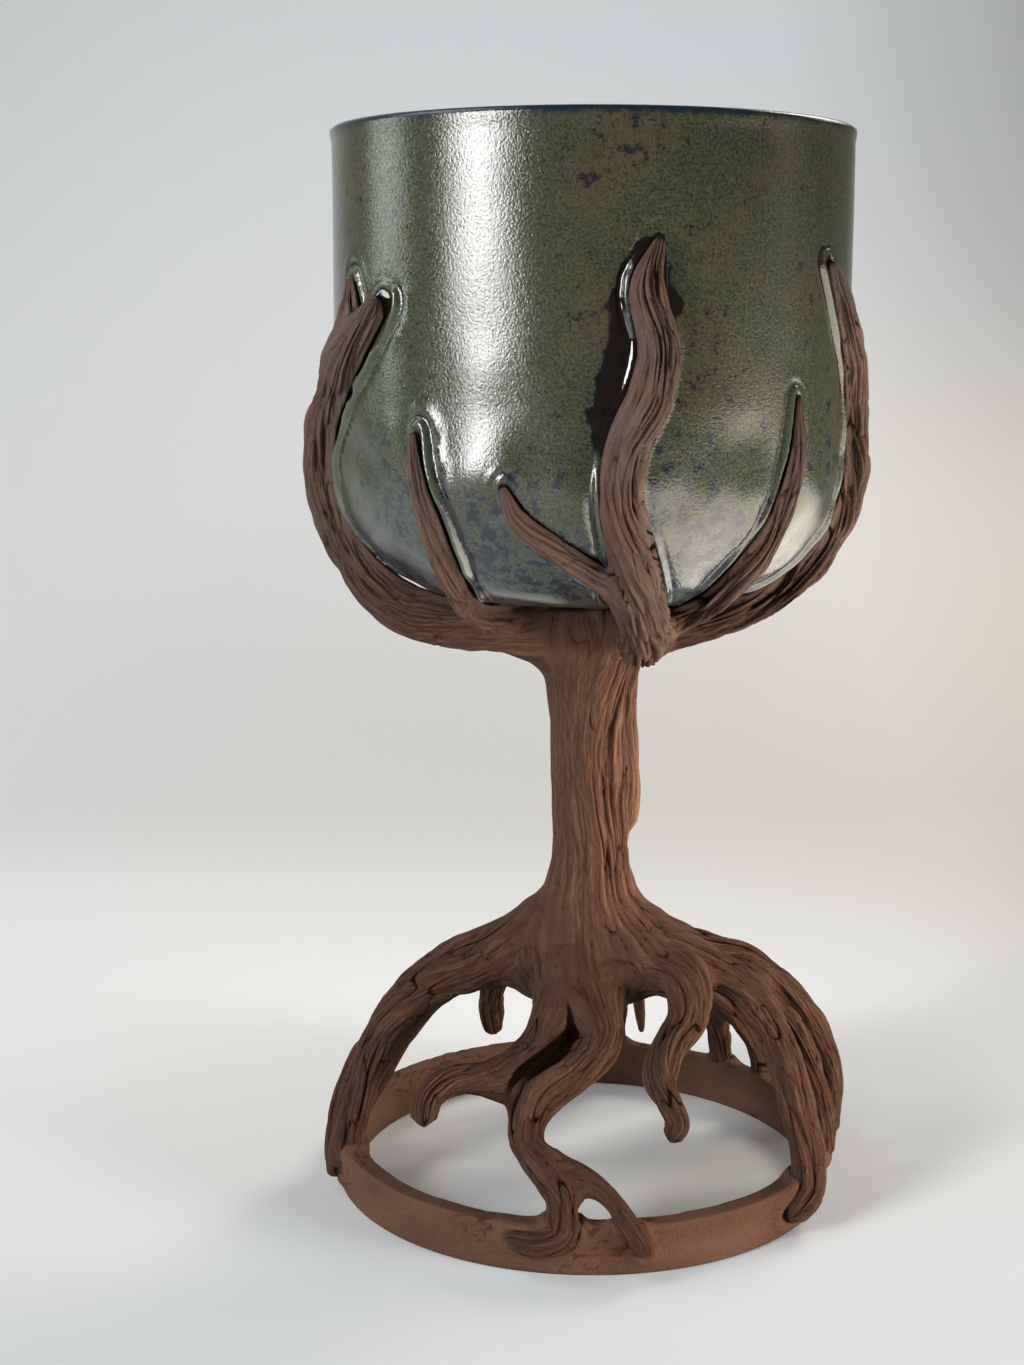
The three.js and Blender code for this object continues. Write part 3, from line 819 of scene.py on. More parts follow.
def straight_blank(sides, rings):
    """A straight coil of unit length and radius."""
    blank = bmesh.new()
    bmesh.ops.create_cone(blank, cap_ends=True, segments=sides, radius1=1, radius2=1, depth=1)
    bmesh.ops.translate(blank, vec=(0, 0, 0.5), verts=blank.verts)
    long_edges = [e for e in blank.edges if abs(e.verts[0].co.z - e.verts[1].co.z) > 0.5]
    bmesh.ops.subdivide_edges(blank, edges=long_edges, cuts=rings - 1)
    caps = [f for f in blank.faces if len(f.verts) > 4]
    bmesh.ops.inset_individual(blank, faces=caps, thickness=CAP_INSET)
    bmesh.ops.poke(blank, faces=caps)
    return blank


def keep_piece(name, shape):
    """Makes a mesh object of a bmesh under a piece's name."""
    data = bpy.data.meshes.new(name)
    shape.to_mesh(data)
    shape.free()
    data.shade_smooth()
    pieces[name] = bpy.data.objects.new(name + "_clay", data)
    bpy.context.scene.collection.objects.link(pieces[name])
    return data


def places_of(data, what="co"):
    """A mesh's corners, or their normals, as an array."""
    values = np.empty(len(data.vertices) * 3, np.float32)
    data.vertices.foreach_get(what, values)
    return values.reshape(-1, 3).astype(float)


def move_to(data, places):
    """Moves a mesh's corners to places in mm."""
    data.vertices.foreach_set("co", (places * MM).astype(np.float32).ravel())
    data.update()


def mark(data, name, values):
    """Stores a number, or three, for each corner, for a material to read."""
    single = values.ndim == 1
    layer = data.attributes.new(name, "FLOAT" if single else "FLOAT_VECTOR", "POINT")
    layer.data.foreach_set("value" if single else "vector", values.astype(np.float32).ravel())


trial = straight_blank(8, 3)
print("a blank with 8 sides and 3 rings has", len(trial.faces), "faces")
trial.free()

# %% Bending
TIP_ROUNDING = 0.8
TIP_NARROWING = 0.25
CAP_DOME = 0.25
# The front branch ends in a blunt hem that is hollow at its end
HEM_HOLLOW = 0.35
ON_EDGE = 0.999
Bent = namedtuple("Bent", "skin outward step fill angle")


def bend(name, blank):
    """Bends a blank's corners along a coil's route, with domed ends."""
    coil = coils[name]
    rings = len(coil.line) - 1
    step = np.rint(blank[:, 2] * rings).astype(int)
    fill = np.hypot(blank[:, 0], blank[:, 1])
    angle = np.arctan2(blank[:, 1], blank[:, 0])
    to_end = np.minimum(coil.along, coil.along[-1] - coil.along)
    rounding = np.clip(1 - to_end / TIP_ROUNDING, 0, 1)
    radius = coil.radius * (1 - TIP_NARROWING * rounding**2)
    outward = np.cos(angle)[:, None] * coil.normal[step] + np.sin(angle)[:, None] * coil.across[step]
    end = np.where(step == 0, -1, np.where(step == rings, 1, 0)) * (fill < ON_EDGE)
    bulge = -HEM_HOLLOW if name == "front_branch" else CAP_DOME
    dome = end * bulge * radius[step] * (1 - fill**2)
    skin = coil.line[step] + (fill * radius[step])[:, None] * outward + dome[:, None] * coil.heading[step]
    return Bent(skin, outward, step, fill, angle)


print("the longest coil has", max(len(coil.line) for coil in coils.values()), "steps")

# %% [markdown]
# ## Where the bark differs
#
# A thumb smoothed the stem's left side and some of the branches. A tool tore the stem's right side into
# deep ridges that end in a ledge. The stem's bark also runs on over the feet of the pieces that were
# smeared onto it. Each of these is a share or a depth worked out from the place, so that one combing
# function serves every coil.

# %% Depth of the bark
# The stem's radius between its collar and its crown, in mm
STEM_RADIUS = 8
# The azimuth of a knot on the stem, and how far round from it the bark is smooth and is fully torn
KNOT_AZIMUTH = 88
SMOOTH_FROM_KNOT, TORN_FROM_KNOT = 86, 62
# Heights in mm over which the crown's and the collar's bark sets in, pressed by the pieces joined there
PRESSED_CROWN = (TRUNK_TOP - 16, TRUNK_TOP - 5)
PRESSED_COLLAR = (ROOT_CROWN + 12, ROOT_CROWN)
# The bark's depth on the smooth stem, how much deeper it is where torn, and how much of that where pressed
SMOOTH_STEM = 0.22
TORN_DEEPER = 0.9
PRESSED_SHARE = 0.6
# The front branch's depth on its left, how much deeper it is on its right, and over how many mm it changes
FRONT_LEFT = 0.7
FRONT_RIGHT_DEEPER = 0.5
FRONT_BLEND = 2.0
# The branches that a thumb smoothed over, and how deep it left their folds
SMOOTHED = {"left_branch": 0.75, "left_twig": 0.75, "front_twig": 0.75}


def azimuth_of(places, axis_x=0):
    """Azimuths in degrees round an upright axis."""
    return np.degrees(np.arctan2(places[:, 0] - axis_x, -places[:, 1]))


def bark_depth(name, skin):
    """How deep the bark is cut: smoothed by a thumb on the left of the stem, torn on its right."""
    if name == "trunk":
        from_knot = np.abs(azimuth_of(skin, TRUNK_LEAN_X) - KNOT_AZIMUTH)
        torn = soft_step(SMOOTH_FROM_KNOT, TORN_FROM_KNOT, from_knot)
        pressed = np.maximum(soft_step(*PRESSED_CROWN, skin[:, 2]), soft_step(*PRESSED_COLLAR, skin[:, 2]))
        return SMOOTH_STEM + TORN_DEEPER * np.maximum(torn, PRESSED_SHARE * pressed)
    if name == "front_branch":
        middle = np.interp(skin[:, 2], coils[name].line[:, 2], coils[name].line[:, 0])
        return FRONT_LEFT + FRONT_RIGHT_DEEPER * soft_step(-FRONT_BLEND, FRONT_BLEND, skin[:, 0] - middle)
    return np.full(len(skin), SMOOTHED.get(name, 1.0))


stem_left = coils["trunk"].line - (STEM_RADIUS, 0, 0)
print(f"the stem's left keeps {bark_depth('trunk', stem_left).min():.0%} of the bark's depth")

# %% Knot
KNOT_HEIGHT = 71
KNOT_RISE = 1.1
KNOT_SPREAD = 28
# Heights in mm over which the knot's ledge grows, going down, and stops
KNOT_GROWS = (KNOT_HEIGHT + 32, KNOT_HEIGHT + 3)
KNOT_STOPS = (KNOT_HEIGHT - 3, KNOT_HEIGHT)


def trunk_knot(skin):
    """A ledge of torn bark on the trunk's right, which grows downwards and stops short."""
    grows = soft_step(*KNOT_GROWS, skin[:, 2])
    stops = soft_step(*KNOT_STOPS, skin[:, 2])
    from_knot = azimuth_of(skin, TRUNK_LEAN_X) - KNOT_AZIMUTH
    return KNOT_RISE * (grows * stops) * bump_at(from_knot, KNOT_SPREAD)


print("the knot stands out by", KNOT_RISE, "mm at", KNOT_HEIGHT, "mm up")

# %% The trunk's bark
# The lines fan out past this radius, where the collar and the crown flare
FLARE_RADIUS = 9
FLARE = 0.8


def trunk_bark(places):
    """The trunk's bark, which runs on over the pieces that are smeared onto its collar and crown."""
    beside = places - (TRUNK_LEAN_X, 0, TRUNK_UNDERSIDE)
    out = np.hypot(beside[:, 0], beside[:, 1])
    upper = beside[:, 2] > (TRUNK_TOP - TRUNK_UNDERSIDE) / 2
    along = beside[:, 2] + np.where(upper, FLARE, -FLARE) * np.maximum(out - FLARE_RADIUS, 0)
    turn = np.arctan2(beside[:, 0], -beside[:, 1])
    return bark(turn, along, STEM_RADIUS, TRUNK_COMB, bark_depth("trunk", places), 0)


print("the trunk's bark fans out past", FLARE_RADIUS, "mm from the stem's axis")

# %% [markdown]
# ## Crack, frays and hollow
#
# A drying crack opened where the front twig pulls at its branch, and shade is painted into it. The tips
# are frayed, since each strand of combed clay tore off at its own length. Between two of the front roots
# a hollow was left. It lies too shallow in the mesh to fall into shade by itself, so it is marked as a
# crease, which the clay's material paints with shade.

# %% Crack and frays
# The azimuths and heights of the crack's two ends
SPLIT = ((2.6, 126.8), (8.2, 118.6))
SPLIT_DEPTH = 0.9
# The crack's half width at its start, how much narrower it is at its end, and how far it strays, in mm
SPLIT_WIDTH = 0.32
SPLIT_NARROWING = 0.15
SPLIT_JAG = 0.35
# Strands stop short by this many mm on average, over this reach, and by less on a tip thinner than this
# radius
FRAY = 0.5
FRAY_REACH = 4
FULL_FRAY_RADIUS = 3
# The strands are spaced by noise of this cell on a circle of this radius
STRAND_CELL = 1.3
STRAND_CIRCLE = 4


def split_share(skin):
    """How close each place is to the line of the drying crack."""
    spot = np.stack([azimuth_of(skin) * CUP_RADIUS * math.pi / 180, skin[:, 2]], axis=1)
    start, end = (np.array((azimuth * CUP_RADIUS * math.pi / 180, height)) for azimuth, height in SPLIT)
    share = np.clip((spot - start) @ (end - start) / ((end - start) @ (end - start)), 0, 1)
    jag = SPLIT_JAG * hills(np.stack([share * 10, 0 * share, 0 * share], axis=1), 1.1, 2.2)
    off = np.linalg.norm(spot - start - share[:, None] * (end - start) - jag[:, None] * (1, 0), axis=1)
    return bump_at(off, SPLIT_WIDTH - SPLIT_NARROWING * share)


def fray(coil, bent, seed):
    """How far each strand of a coil's tip stops short, in mm."""
    strand = on_coil(bent.angle, np.full(len(bent.angle), seed), STRAND_CIRCLE)
    thin_tip = np.clip(coil.radius[bent.step] / FULL_FRAY_RADIUS, 0, 1)
    short = FRAY * (1 + hills(strand, STRAND_CELL, seed + 31)) * thin_tip * bent.fill
    return short * soft_step(FRAY_REACH, 0, coil.along[-1] - coil.along[bent.step])


print("strands at the tips stop short by up to", 2 * FRAY, "mm")

# %% Hollow
# Shares of the way up to the collar between which the hollow shows, and at which it narrows to its ends
HOLLOW_TOP = (0.92, 0.86)
HOLLOW_FOOT = (0.58, 0.66)
NARROWS_UP = (0.74, 0.9)
NARROWS_DOWN = (0.7, 0.6)
# How closed by clay a place has to be to lie inside the hollow: in its middle, and how much more at its ends
CLOSED_MIDDLE = 0.52
CLOSED_TOP = 0.42
CLOSED_FOOT = 0.25
HOLLOW_EDGE = 0.08
# Distances in mm from the other root over which a place comes to face it
FACING = (8, 6)


def hollow_shade_share(name, skin, swell):
    """How far each place on one of the hollow's two roots lies inside it, where shade is painted."""
    other = coils[HOLLOW[1 - HOLLOW.index(name)]]
    level = skin[:, 2] / ROOT_CROWN
    between = soft_step(*HOLLOW_TOP, level) * soft_step(*HOLLOW_FOOT, level)
    at_top = CLOSED_TOP * soft_step(*NARROWS_UP, level)
    at_foot = CLOSED_FOOT * soft_step(*NARROWS_DOWN, level)
    narrow = CLOSED_MIDDLE + at_top + at_foot
    closed = swell / (THUMB_IN_HOLLOW * MEETING)
    facing = soft_step(*FACING, coil_distance(skin, other)[0])
    return between * (soft_step(0, HOLLOW_EDGE, closed - narrow) * facing)


print(f"the hollow shows from {HOLLOW_FOOT[0] * ROOT_CROWN:.0f} to {HOLLOW_TOP[0] * ROOT_CROWN:.0f} mm up")

# %% [markdown]
# ## Every coil
#
# Now each coil is rolled, bent, combed and smeared. Its mesh keeps four marks for the material: the
# painted shade of its creases, how pale its ridges are from rubbed wear and a painted highlight, how
# thumbed each place is, and where it lies in the untwisted clay. The ridges are less pale on the roots,
# and just under the cup, in its shadow, they are given a painted shade.

# %% Rubbing, and painted shade under the cup
# Heights in mm over which the roots set in, going down, and the band of painted shade under the cup sets in
# and fades out
ROOTS_SET_IN = (ROOT_CROWN + 18, ROOT_CROWN - 2)
BAND_SETS_IN = (92, 104)
BAND_FADES_OUT = (136, 118)
# What the ridges' paleness loses there, which under the cup is painted shade: a fixed part, and a share of
# itself
PALENESS_TAKEN = 0.3
PALENESS_TAKEN_SHARE = 0.55


def less_pale_roots_shaded_under_cup(rubbed_and_highlit, height):
    """How pale the ridges are: less so on the roots, with painted shade just under the cup."""
    low_down = soft_step(*ROOTS_SET_IN, height)
    under_cup = soft_step(*BAND_SETS_IN, height) * soft_step(*BAND_FADES_OUT, height)
    return rubbed_and_highlit - np.maximum(low_down, under_cup) * (PALENESS_TAKEN + PALENESS_TAKEN_SHARE * rubbed_and_highlit)


print(f"the most rubbed ridge at the roots' crown is {less_pale_roots_shaded_under_cup(1, ROOT_CROWN):.0%} rubbed")

# %% Rolling
# The front branch's blunt hem is rounded off by this many mm over this reach, and keeps this share of its
# bark
HEM_ROUNDING = 1.2
HEM_REACH = 3.5
HEM_BARK = 0.45
# Bark is shallower on a coil thinner than this radius, down to a least share
FULL_BARK_RADIUS = 3.2
LEAST_BARK = 0.25
# The share of the bark that a thumb took off in a smeared joint
SMEARED_OFF = 0.7


def roll(name, comb, sides, seed):
    """Rolls one coil, bends it along its route, combs its bark and smears its joints."""
    coil = coils[name]
    data = keep_piece(name, straight_blank(sides, len(coil.line) - 1))
    bent = bend(name, places_of(data))
    skin, outward, along = bent.skin, bent.outward, coil.along[bent.step]
    swell, closeness, trunk_closeness = swelling(name, skin, outward)
    depth = bark_depth(name, skin)
    relief, painted_shade, rubbed_and_highlit, clay = bark(bent.angle, along, coil.radius.mean(), comb, depth, seed)
    share = np.ones(len(skin)) if name == "trunk" else trunk_closeness
    shared = share > 0
    on_trunk = trunk_bark((skin + swell[:, None] * outward)[shared])
    for own, trunks in zip((relief, painted_shade, rubbed_and_highlit), on_trunk):
        own[shared] += share[shared] * (trunks - own[shared])
    if name == "front_branch":
        relief *= HEM_BARK + (1 - HEM_BARK) * soft_step(0, HEM_REACH, along)
    slim = np.clip(coil.radius[bent.step] / FULL_BARK_RADIUS, LEAST_BARK, 1)
    rise = slim * (relief * (1 - SMEARED_OFF * closeness) + swell)
    if name == "trunk":
        rise += trunk_knot(skin)
        clay = on_trunk[3]
    if name == "front_branch":
        # The drying crack is cut in and given painted shade
        split = split_share(skin)
        rise -= HEM_ROUNDING * soft_step(HEM_REACH, 0, along) ** 2 + SPLIT_DEPTH * split
        painted_shade = np.maximum(painted_shade, split)
    # The hollow between two roots gets painted shade
    if name in HOLLOW:
        painted_shade = np.maximum(painted_shade, hollow_shade_share(name, skin, swell))
    back = -fray(coil, bent, seed)
    move_to(data, skin + (bent.fill * rise)[:, None] * outward + back[:, None] * coil.heading[bent.step])
    # Marks for the painted shade of creases, cracks and the hollow, and for the ridges' paleness of rubbed
    # wear and painted highlight
    mark(data, "crease_shade", painted_shade)
    mark(data, "rubbed_and_highlit", less_pale_roots_shaded_under_cup(rubbed_and_highlit, skin[:, 2]))
    mark(data, "thumbed", np.maximum(closeness, trunk_closeness))
    mark(data, "fibre", clay)
    return 2 * len(data.polygons)


print(f"a smeared joint keeps {1 - SMEARED_OFF:.0%} of its bark")

# %% All the coils
SIDES_PER_RADIUS = 32
FEWEST_SIDES, MOST_SIDES = 64, 190
TRUNK_SIDES = 320

triangles = 0
for number, (name, coil) in enumerate(coils.items()):
    if name == "trunk":
        triangles += roll(name, TRUNK_COMB, TRUNK_SIDES, number)
    else:
        sides = int(np.clip(SIDES_PER_RADIUS * np.percentile(coil.radius, 70), FEWEST_SIDES, MOST_SIDES))
        triangles += roll(name, ROOT_COMB if name in ROOTS else BRANCH_COMB, sides, number * 1.7)
print("rolled", len(pieces), "pieces with about", triangles, "triangles")

# %% [markdown]
# ## Foot ring
#
# A slab of clay was cut to a strip and bent into a hoop. Its section, a bevelled rectangle, is spun once
# round. The finger-smoothed faces are nearly plain, with slight waves and scuffs, and swell to meet the
# roots' feet.

# %% Foot ring blank
RING_SPIN_STEPS = 480
RING_CUTS = 11
MERGE_WITHIN = 0.001


def spin_round(shape, steps):
    """Spins an outline once round the chalice's axis and closes its seam."""
    bmesh.ops.spin(
        shape, geom=shape.verts[:] + shape.edges[:], cent=(0, 0, 0), axis=(0, 0, 1), angle=2 * math.pi,
        steps=steps, use_merge=True,
    )
    bmesh.ops.remove_doubles(shape, verts=shape.verts, dist=MERGE_WITHIN)
    bmesh.ops.recalc_face_normals(shape, faces=shape.faces)


hoop = bmesh.new()
inner = RING_OUTER_RADIUS - RING_WALL
section = [hoop.verts.new((x, 0, z)) for x, z in (
    (inner, 0), (RING_OUTER_RADIUS, 0), (RING_OUTER_RADIUS, RING_HEIGHT), (inner, RING_HEIGHT),
)]
for a, b in zip(section, section[1:] + section[:1]):
    hoop.edges.new((a, b))
bmesh.ops.bevel(
    hoop, geom=section, offset=RING_EDGE, affect="VERTICES", segments=3, profile=0.5, material=-1,
)
long_sides = [e for e in hoop.edges if e.calc_length() > 2 * RING_EDGE]
bmesh.ops.subdivide_edges(hoop, edges=long_sides, cuts=RING_CUTS)
spin_round(hoop, RING_SPIN_STEPS)
ring_data = keep_piece("foot_ring", hoop)
print("foot ring corners:", len(ring_data.vertices))

# %% Foot ring skin
WAVE_HEIGHT, WAVE_CELL = 0.22, (14, 14, 6)
RIPPLE_HEIGHT, FINE_RIPPLE_CELL = 0.1, (3, 3, 1.2)
SCUFFED_PATCH, SCUFF_CELL = 9, (2.2, 2.2, 0.9)
SCUFF_DEPTH = 0.18
SCUFF_WIDTH = 0.14
SCUFF_PAINTED_SHADE = 0.6
# Heights in mm over which the skin sets in above the flat foot
FOOT_EDGE = (0.2, 1.2)
RING_THUMBED = 0.3

places = places_of(ring_data)
outward = places_of(ring_data, "normal")
wave = WAVE_HEIGHT * hills(places, WAVE_CELL, 3.1) + RIPPLE_HEIGHT * hills(places, FINE_RIPPLE_CELL, 4.2)
scuffed = soft_step(0.1, 0.5, hills(places, SCUFFED_PATCH, 8.1))
scuff = bump_at(hills(places, SCUFF_CELL, 5.5), SCUFF_WIDTH) * scuffed
relief = wave - WAVE_HEIGHT - SCUFF_DEPTH * scuff
# The foot stays flat where it stands
standing = soft_step(*FOOT_EDGE, places[:, 2])
swell, _, _ = swelling("foot_ring", places, outward)
move_to(ring_data, places + ((relief + swell) * standing)[:, None] * outward)
# The scuffs get painted shade through the crease mark
mark(ring_data, "crease_shade", scuff * SCUFF_PAINTED_SHADE)
mark(ring_data, "rubbed_and_highlit", 0.4 + 0.3 * hills(places, (9, 9, 4), 6.6))
mark(ring_data, "thumbed", np.full(len(places), RING_THUMBED))
mark(ring_data, "fibre", places)
print(f"scuffs on {np.mean(scuff > 0.5):.0%} of the ring")

# %% [markdown]
# ## Cup
#
# The cup was thrown, so a spun outline is its true form. The branches were pressed on while it was soft:
# the wall bulged between them and rose in a lip along both sides of each. Round the branches the mesh is
# cut finer, so that the lips can be real shapes that catch the light, and not only paint.

# %% Cup blank
CUP_SPIN_STEPS = 208
CUP_STEP = 1.45
INNER_STEP = 2.6
RIM_ROUND = 1.2
RIM_TAPER = 16
FEWEST_ARC_STEPS = 5
ON_OUTLINE = 0.01


def arc(centre_x, centre_z, radius, start, end, step=CUP_STEP):
    """Points on an arc, about one step apart."""
    count = max(FEWEST_ARC_STEPS, round(abs(math.radians(end - start)) * radius / step))
    turns = [math.radians(start + (end - start) * i / count) for i in range(count + 1)]
    return [(centre_x + radius * math.cos(turn), centre_z + radius * math.sin(turn)) for turn in turns]


inner_corner = CUP_CORNER - CUP_WALL
outline = [
    (0, CUP_BASE),
    *arc(CUP_FLAT_RADIUS, CUP_BASE + CUP_CORNER, CUP_CORNER, -90, 0),
    *arc(CUP_RADIUS - RIM_ROUND, CUP_RIM - RIM_ROUND, RIM_ROUND, 0, 180),
    (CUP_RADIUS - CUP_WALL, CUP_RIM - RIM_TAPER),
    *arc(CUP_FLAT_RADIUS, CUP_BASE + CUP_FLOOR + inner_corner, inner_corner, 0, -90, INNER_STEP),
    (0, CUP_BASE + CUP_FLOOR),
]
bowl = bmesh.new()
corners = [bowl.verts.new((x, 0, z)) for x, z in outline]
for a, b in zip(corners, corners[1:]):
    bowl.edges.new((a, b))
for long_edge in [e for e in bowl.edges if e.calc_length() > 2 * INNER_STEP]:
    outside = abs(cup_distance(np.array([v.co for v in long_edge.verts])).max()) < ON_OUTLINE
    step = CUP_STEP if outside else INNER_STEP
    bmesh.ops.subdivide_edges(bowl, edges=[long_edge], cuts=round(long_edge.calc_length() / step) - 1)
spin_round(bowl, CUP_SPIN_STEPS)
print("plain cup faces:", len(bowl.faces))

# %% Finer round the branches
# Distances in mm from a branch within which the mesh is halved once, and once more
FINER_WITHIN = (4.2, 2.5)
# Faces farther inside a branch than this stay hidden, and so stay coarse
HIDDEN_INSIDE = -0.6
ON_THE_OUTSIDE = 0.5


def branch_gap(places, name, within=12):
    """How far places lie outside a branch, in mm, and its nearest step, worked out only near it."""
    coil = coils[name]
    spread = coil.radius.max() + within
    near = np.all((places > coil.line.min(0) - spread) & (places < coil.line.max(0) + spread), axis=1)
    gap, step = np.full(len(places), FAR_OFF), np.zeros(len(places), int)
    gap[near], step[near] = coil_distance(places[near], coil)
    return gap, step


for within in FINER_WITHIN:
    bowl.faces.ensure_lookup_table()
    middles = np.array([f.calc_center_median() for f in bowl.faces])
    nearest = np.min([branch_gap(middles, name)[0] for name in BRANCHES], axis=0)
    outside = np.abs(cup_distance(middles)) < ON_THE_OUTSIDE
    zone = np.flatnonzero((nearest < within) & (nearest > HIDDEN_INSIDE) & outside)
    zone_edges = dict.fromkeys(e for i in zone for e in bowl.faces[i].edges)
    bmesh.ops.subdivide_edges(bowl, edges=list(zone_edges), cuts=1, use_grid_fill=True)
print("cup triangles:", sum(len(face.verts) - 2 for face in bowl.faces))

# %% [markdown]
# ## The cup's skin
#
# A hand held the cup while the branches went on, so its wall is dented and bumpy low down. The soft wall
# rose in a lip on the side that each branch was pushed towards, with a trough beside it and often a
# second, lower lip. The glaze gathered in the troughs, which is stored for the material as a number
# called pool, together with a painted shadow in the gap between each branch and its lip. The skin is
# moved by sums of soft bumps, because each press of a finger leaves one.

# %% Lips
# The lip on each branch's left and right side, seen from outside: its height, its place off the branch and
# its width in mm
LIPS = {
    "left_branch": ((0.3, 1.0, 0.5), (1.0, 1.7, 0.65)),
    "left_branch_fork": ((0.9, 1.0, 0.5), (0.8, 1.0, 0.5)),
    "left_twig": ((0.15, 0.8, 0.4), (1.15, 1.5, 0.6)),
    "front_twig": ((0.5, 0.6, 0.4), (0.2, 1.0, 0.5)),
    "front_branch": ((0.8, 0.8, 0.55), (0.3, 0.6, 0.4)),
    "right_twig": ((0.8, 1.2, 0.5), (0.2, 0.8, 0.4)),
    "right_branch": ((0.75, 1.4, 0.6), (0.4, 0.8, 0.45)),
}
OTHER_LIPS = ((0.9, 1.0, 0.55), (0.9, 1.0, 0.55))
# The front branch's lip thins out between two fat beads: heights in mm and shares of the lip
FRONT_BEADS = ((125, 1.3), (138, 1.2), (143, 0.5), (163, 0.5), (169, 1.3), (175, 1.1), (180, 0.4))
# The lip's side changes over this many mm to the left and right of the branch's middle
SIDE_BLEND = 1.5
# The skin moves on the cup's outside only. In mm: the distances from it over which that sets in, and how far
# below the rim it is full
OUTER_FADE = (1.6, 0.4)
RIM_FADE = 2.5

cup_data = keep_piece("cup_bowl", bowl)
places = places_of(cup_data)
outward = places_of(cup_data, "normal")
below_rim = soft_step(0, RIM_FADE, CUP_RIM - places[:, 2])
outer = soft_step(*OUTER_FADE, np.abs(cup_distance(places))) * below_rim
lip, trough, second_lip, seam = (np.zeros(len(places)) for _ in range(4))
gaps = {}
for name in BRANCHES:
    gap, step = branch_gap(places, name)
    coil = coils[name]
    to_right = np.sum((places - coil.line[step]) * np.cross(coil.heading[step], outward), axis=1)
    rightward = soft_step(-SIDE_BLEND, SIDE_BLEND, to_right)
    left_lip, right_lip = (np.array(side) for side in LIPS.get(name, OTHER_LIPS))
    stand, off, width = (left_lip + (right_lip - left_lip) * rightward[:, None]).T
    if name == "front_branch":
        stand = stand * np.interp(places[:, 2], *np.array(FRONT_BEADS).T)
    lip = np.maximum(lip, stand * bump_at(gap - off, width))
    trough = np.maximum(trough, stand * bump_at(gap - off - 2 * width, 1.2 * width))
    second_lip = np.maximum(second_lip, stand * bump_at(gap - off - 4 * width, width))
    # The seam is a painted shadow in the gap between each branch and its lip
    seam = np.maximum(seam, soft_step(0.9, 0.4, gap / np.maximum(off - 0.7 * width, 0.25)))
    gaps[name] = gap, to_right
above_base = soft_step(CUP_BASE + 0.5, CUP_BASE + 4, places[:, 2])
lip *= np.clip(0.8 + 0.8 * hills(places, 5, 9.5), 0.1, 1.2) * above_base
second_lip *= soft_step(-0.1, 0.5, hills(places, 12, 12.5))
print(f"the highest lip stands {lip.max():.1f} mm")

# %% Dents and droop
# Dents and bumps: azimuth, height, reach and depth in mm
PRESSES = [
    (28, 143, 9, -0.4), (37, 133, 7, 0.35), (24, 128, 8, 0.4), (33, 124, 7, -0.4), (-24, 141, 8, 0.6),
    (-12, 148, 9, -0.4), (58, 139, 8, 0.6), (-55, 139, 8, -0.5), (100, 140, 12, 0.6), (150, 135, 10, -0.7),
    (-110, 145, 12, 0.6),
]
# The wall is drawn in by this much, so that its lips and bumps stay inside the cup's own size
DRAWN_IN = 0.5
# How high the second lip and how deep the trough is, as shares of the lip
SECOND_LIP = 0.45
TROUGH = 0.3
# The rim sags at the back, over these distances behind the axis and heights, in mm
RIM_DROOP = 0.8
AT_BACK = (0, 30)
NEAR_RIM = (CUP_RIM - 14, CUP_RIM)
# Heights in mm over which the wall turns from plain to handled and to lumpy, going down
HANDLED = (CUP_BASE + 60, CUP_BASE + 36)
LUMPY = (CUP_BASE + 42, CUP_BASE + 22)

handled = soft_step(*HANDLED, places[:, 2])
wobble = 0.25 * hills(places, 26, 1.5) + (0.05 + 0.2 * handled) * hills(places, 8, 2.5)
lumps = 0.5 * hills(places, 6, 6.5) * soft_step(*LUMPY, places[:, 2])
for azimuth, height, reach, depth in PRESSES:
    apart = np.linalg.norm(places - polar(azimuth, CUP_RADIUS, height), axis=1)
    lumps += depth * bump_at(apart, reach)
shape = wobble + lumps + lip + SECOND_LIP * second_lip - TROUGH * trough - DRAWN_IN
at_back = soft_step(*AT_BACK, places[:, 1]) * soft_step(*NEAR_RIM, places[:, 2])
droop = RIM_DROOP * at_back * soft_step(-0.3, 0.7, hills(places * (1, 1, 0), 20, 3.3))
move_to(cup_data, places + (shape * outer)[:, None] * outward - droop[:, None] * (0, 0, 1))
print("cup corners:", len(cup_data.vertices))

# %% Pools of glaze and painted shadow
# Heights in mm and how wide the glaze ran dark there, on the front branch's left and on its right
LEFT_RUN = ((140, 0), (147, 2.2), (151.5, 4.6), (158, 6.6), (164.5, 5), (171, 2), (178, 1.4), (181, 0))
RIGHT_RUN = ((130, 0.6), (158, 0.7), (163, 1.0), (171, 1.7), (177, 1.2), (180, 0))
front_gap, right_of_front = gaps["front_branch"]
ragged = front_gap + 1.6 * hills(places, (3, 3, 5), 15.5) + 0.9 * hills(places, (1.2, 1.2, 2), 17.5)


def dark_run(widths, side):
    """How far each place is inside a run of dark glaze on one side of the front branch."""
    width = np.interp(places[:, 2], *np.array(widths).T)
    within = soft_step(width + 1.2, width - 1.2, ragged)
    return within * soft_step(-0.8, 0.8, side) * soft_step(0, 1.5, width)


left_run = dark_run(LEFT_RUN, -right_of_front)
right_run = dark_run(RIGHT_RUN, right_of_front)
beside_lips = trough * np.clip(0.55 + 0.8 * hills(places, (5, 5, 8), 16.5), 0, 1)
pool = np.maximum.reduce([left_run, right_run, beside_lips]) * (1 - 0.85 * np.clip(lip, 0, 1))
# The pool mark holds the pooled glaze and the painted shadow beside each branch
mark(cup_data, "pool", np.maximum(pool, seam) * outer)
mark(cup_data, "lip", lip * outer)
print(f"dark glaze covers {np.mean(pool[outer > 0.5] > 0.5):.0%} of the cup's corners")

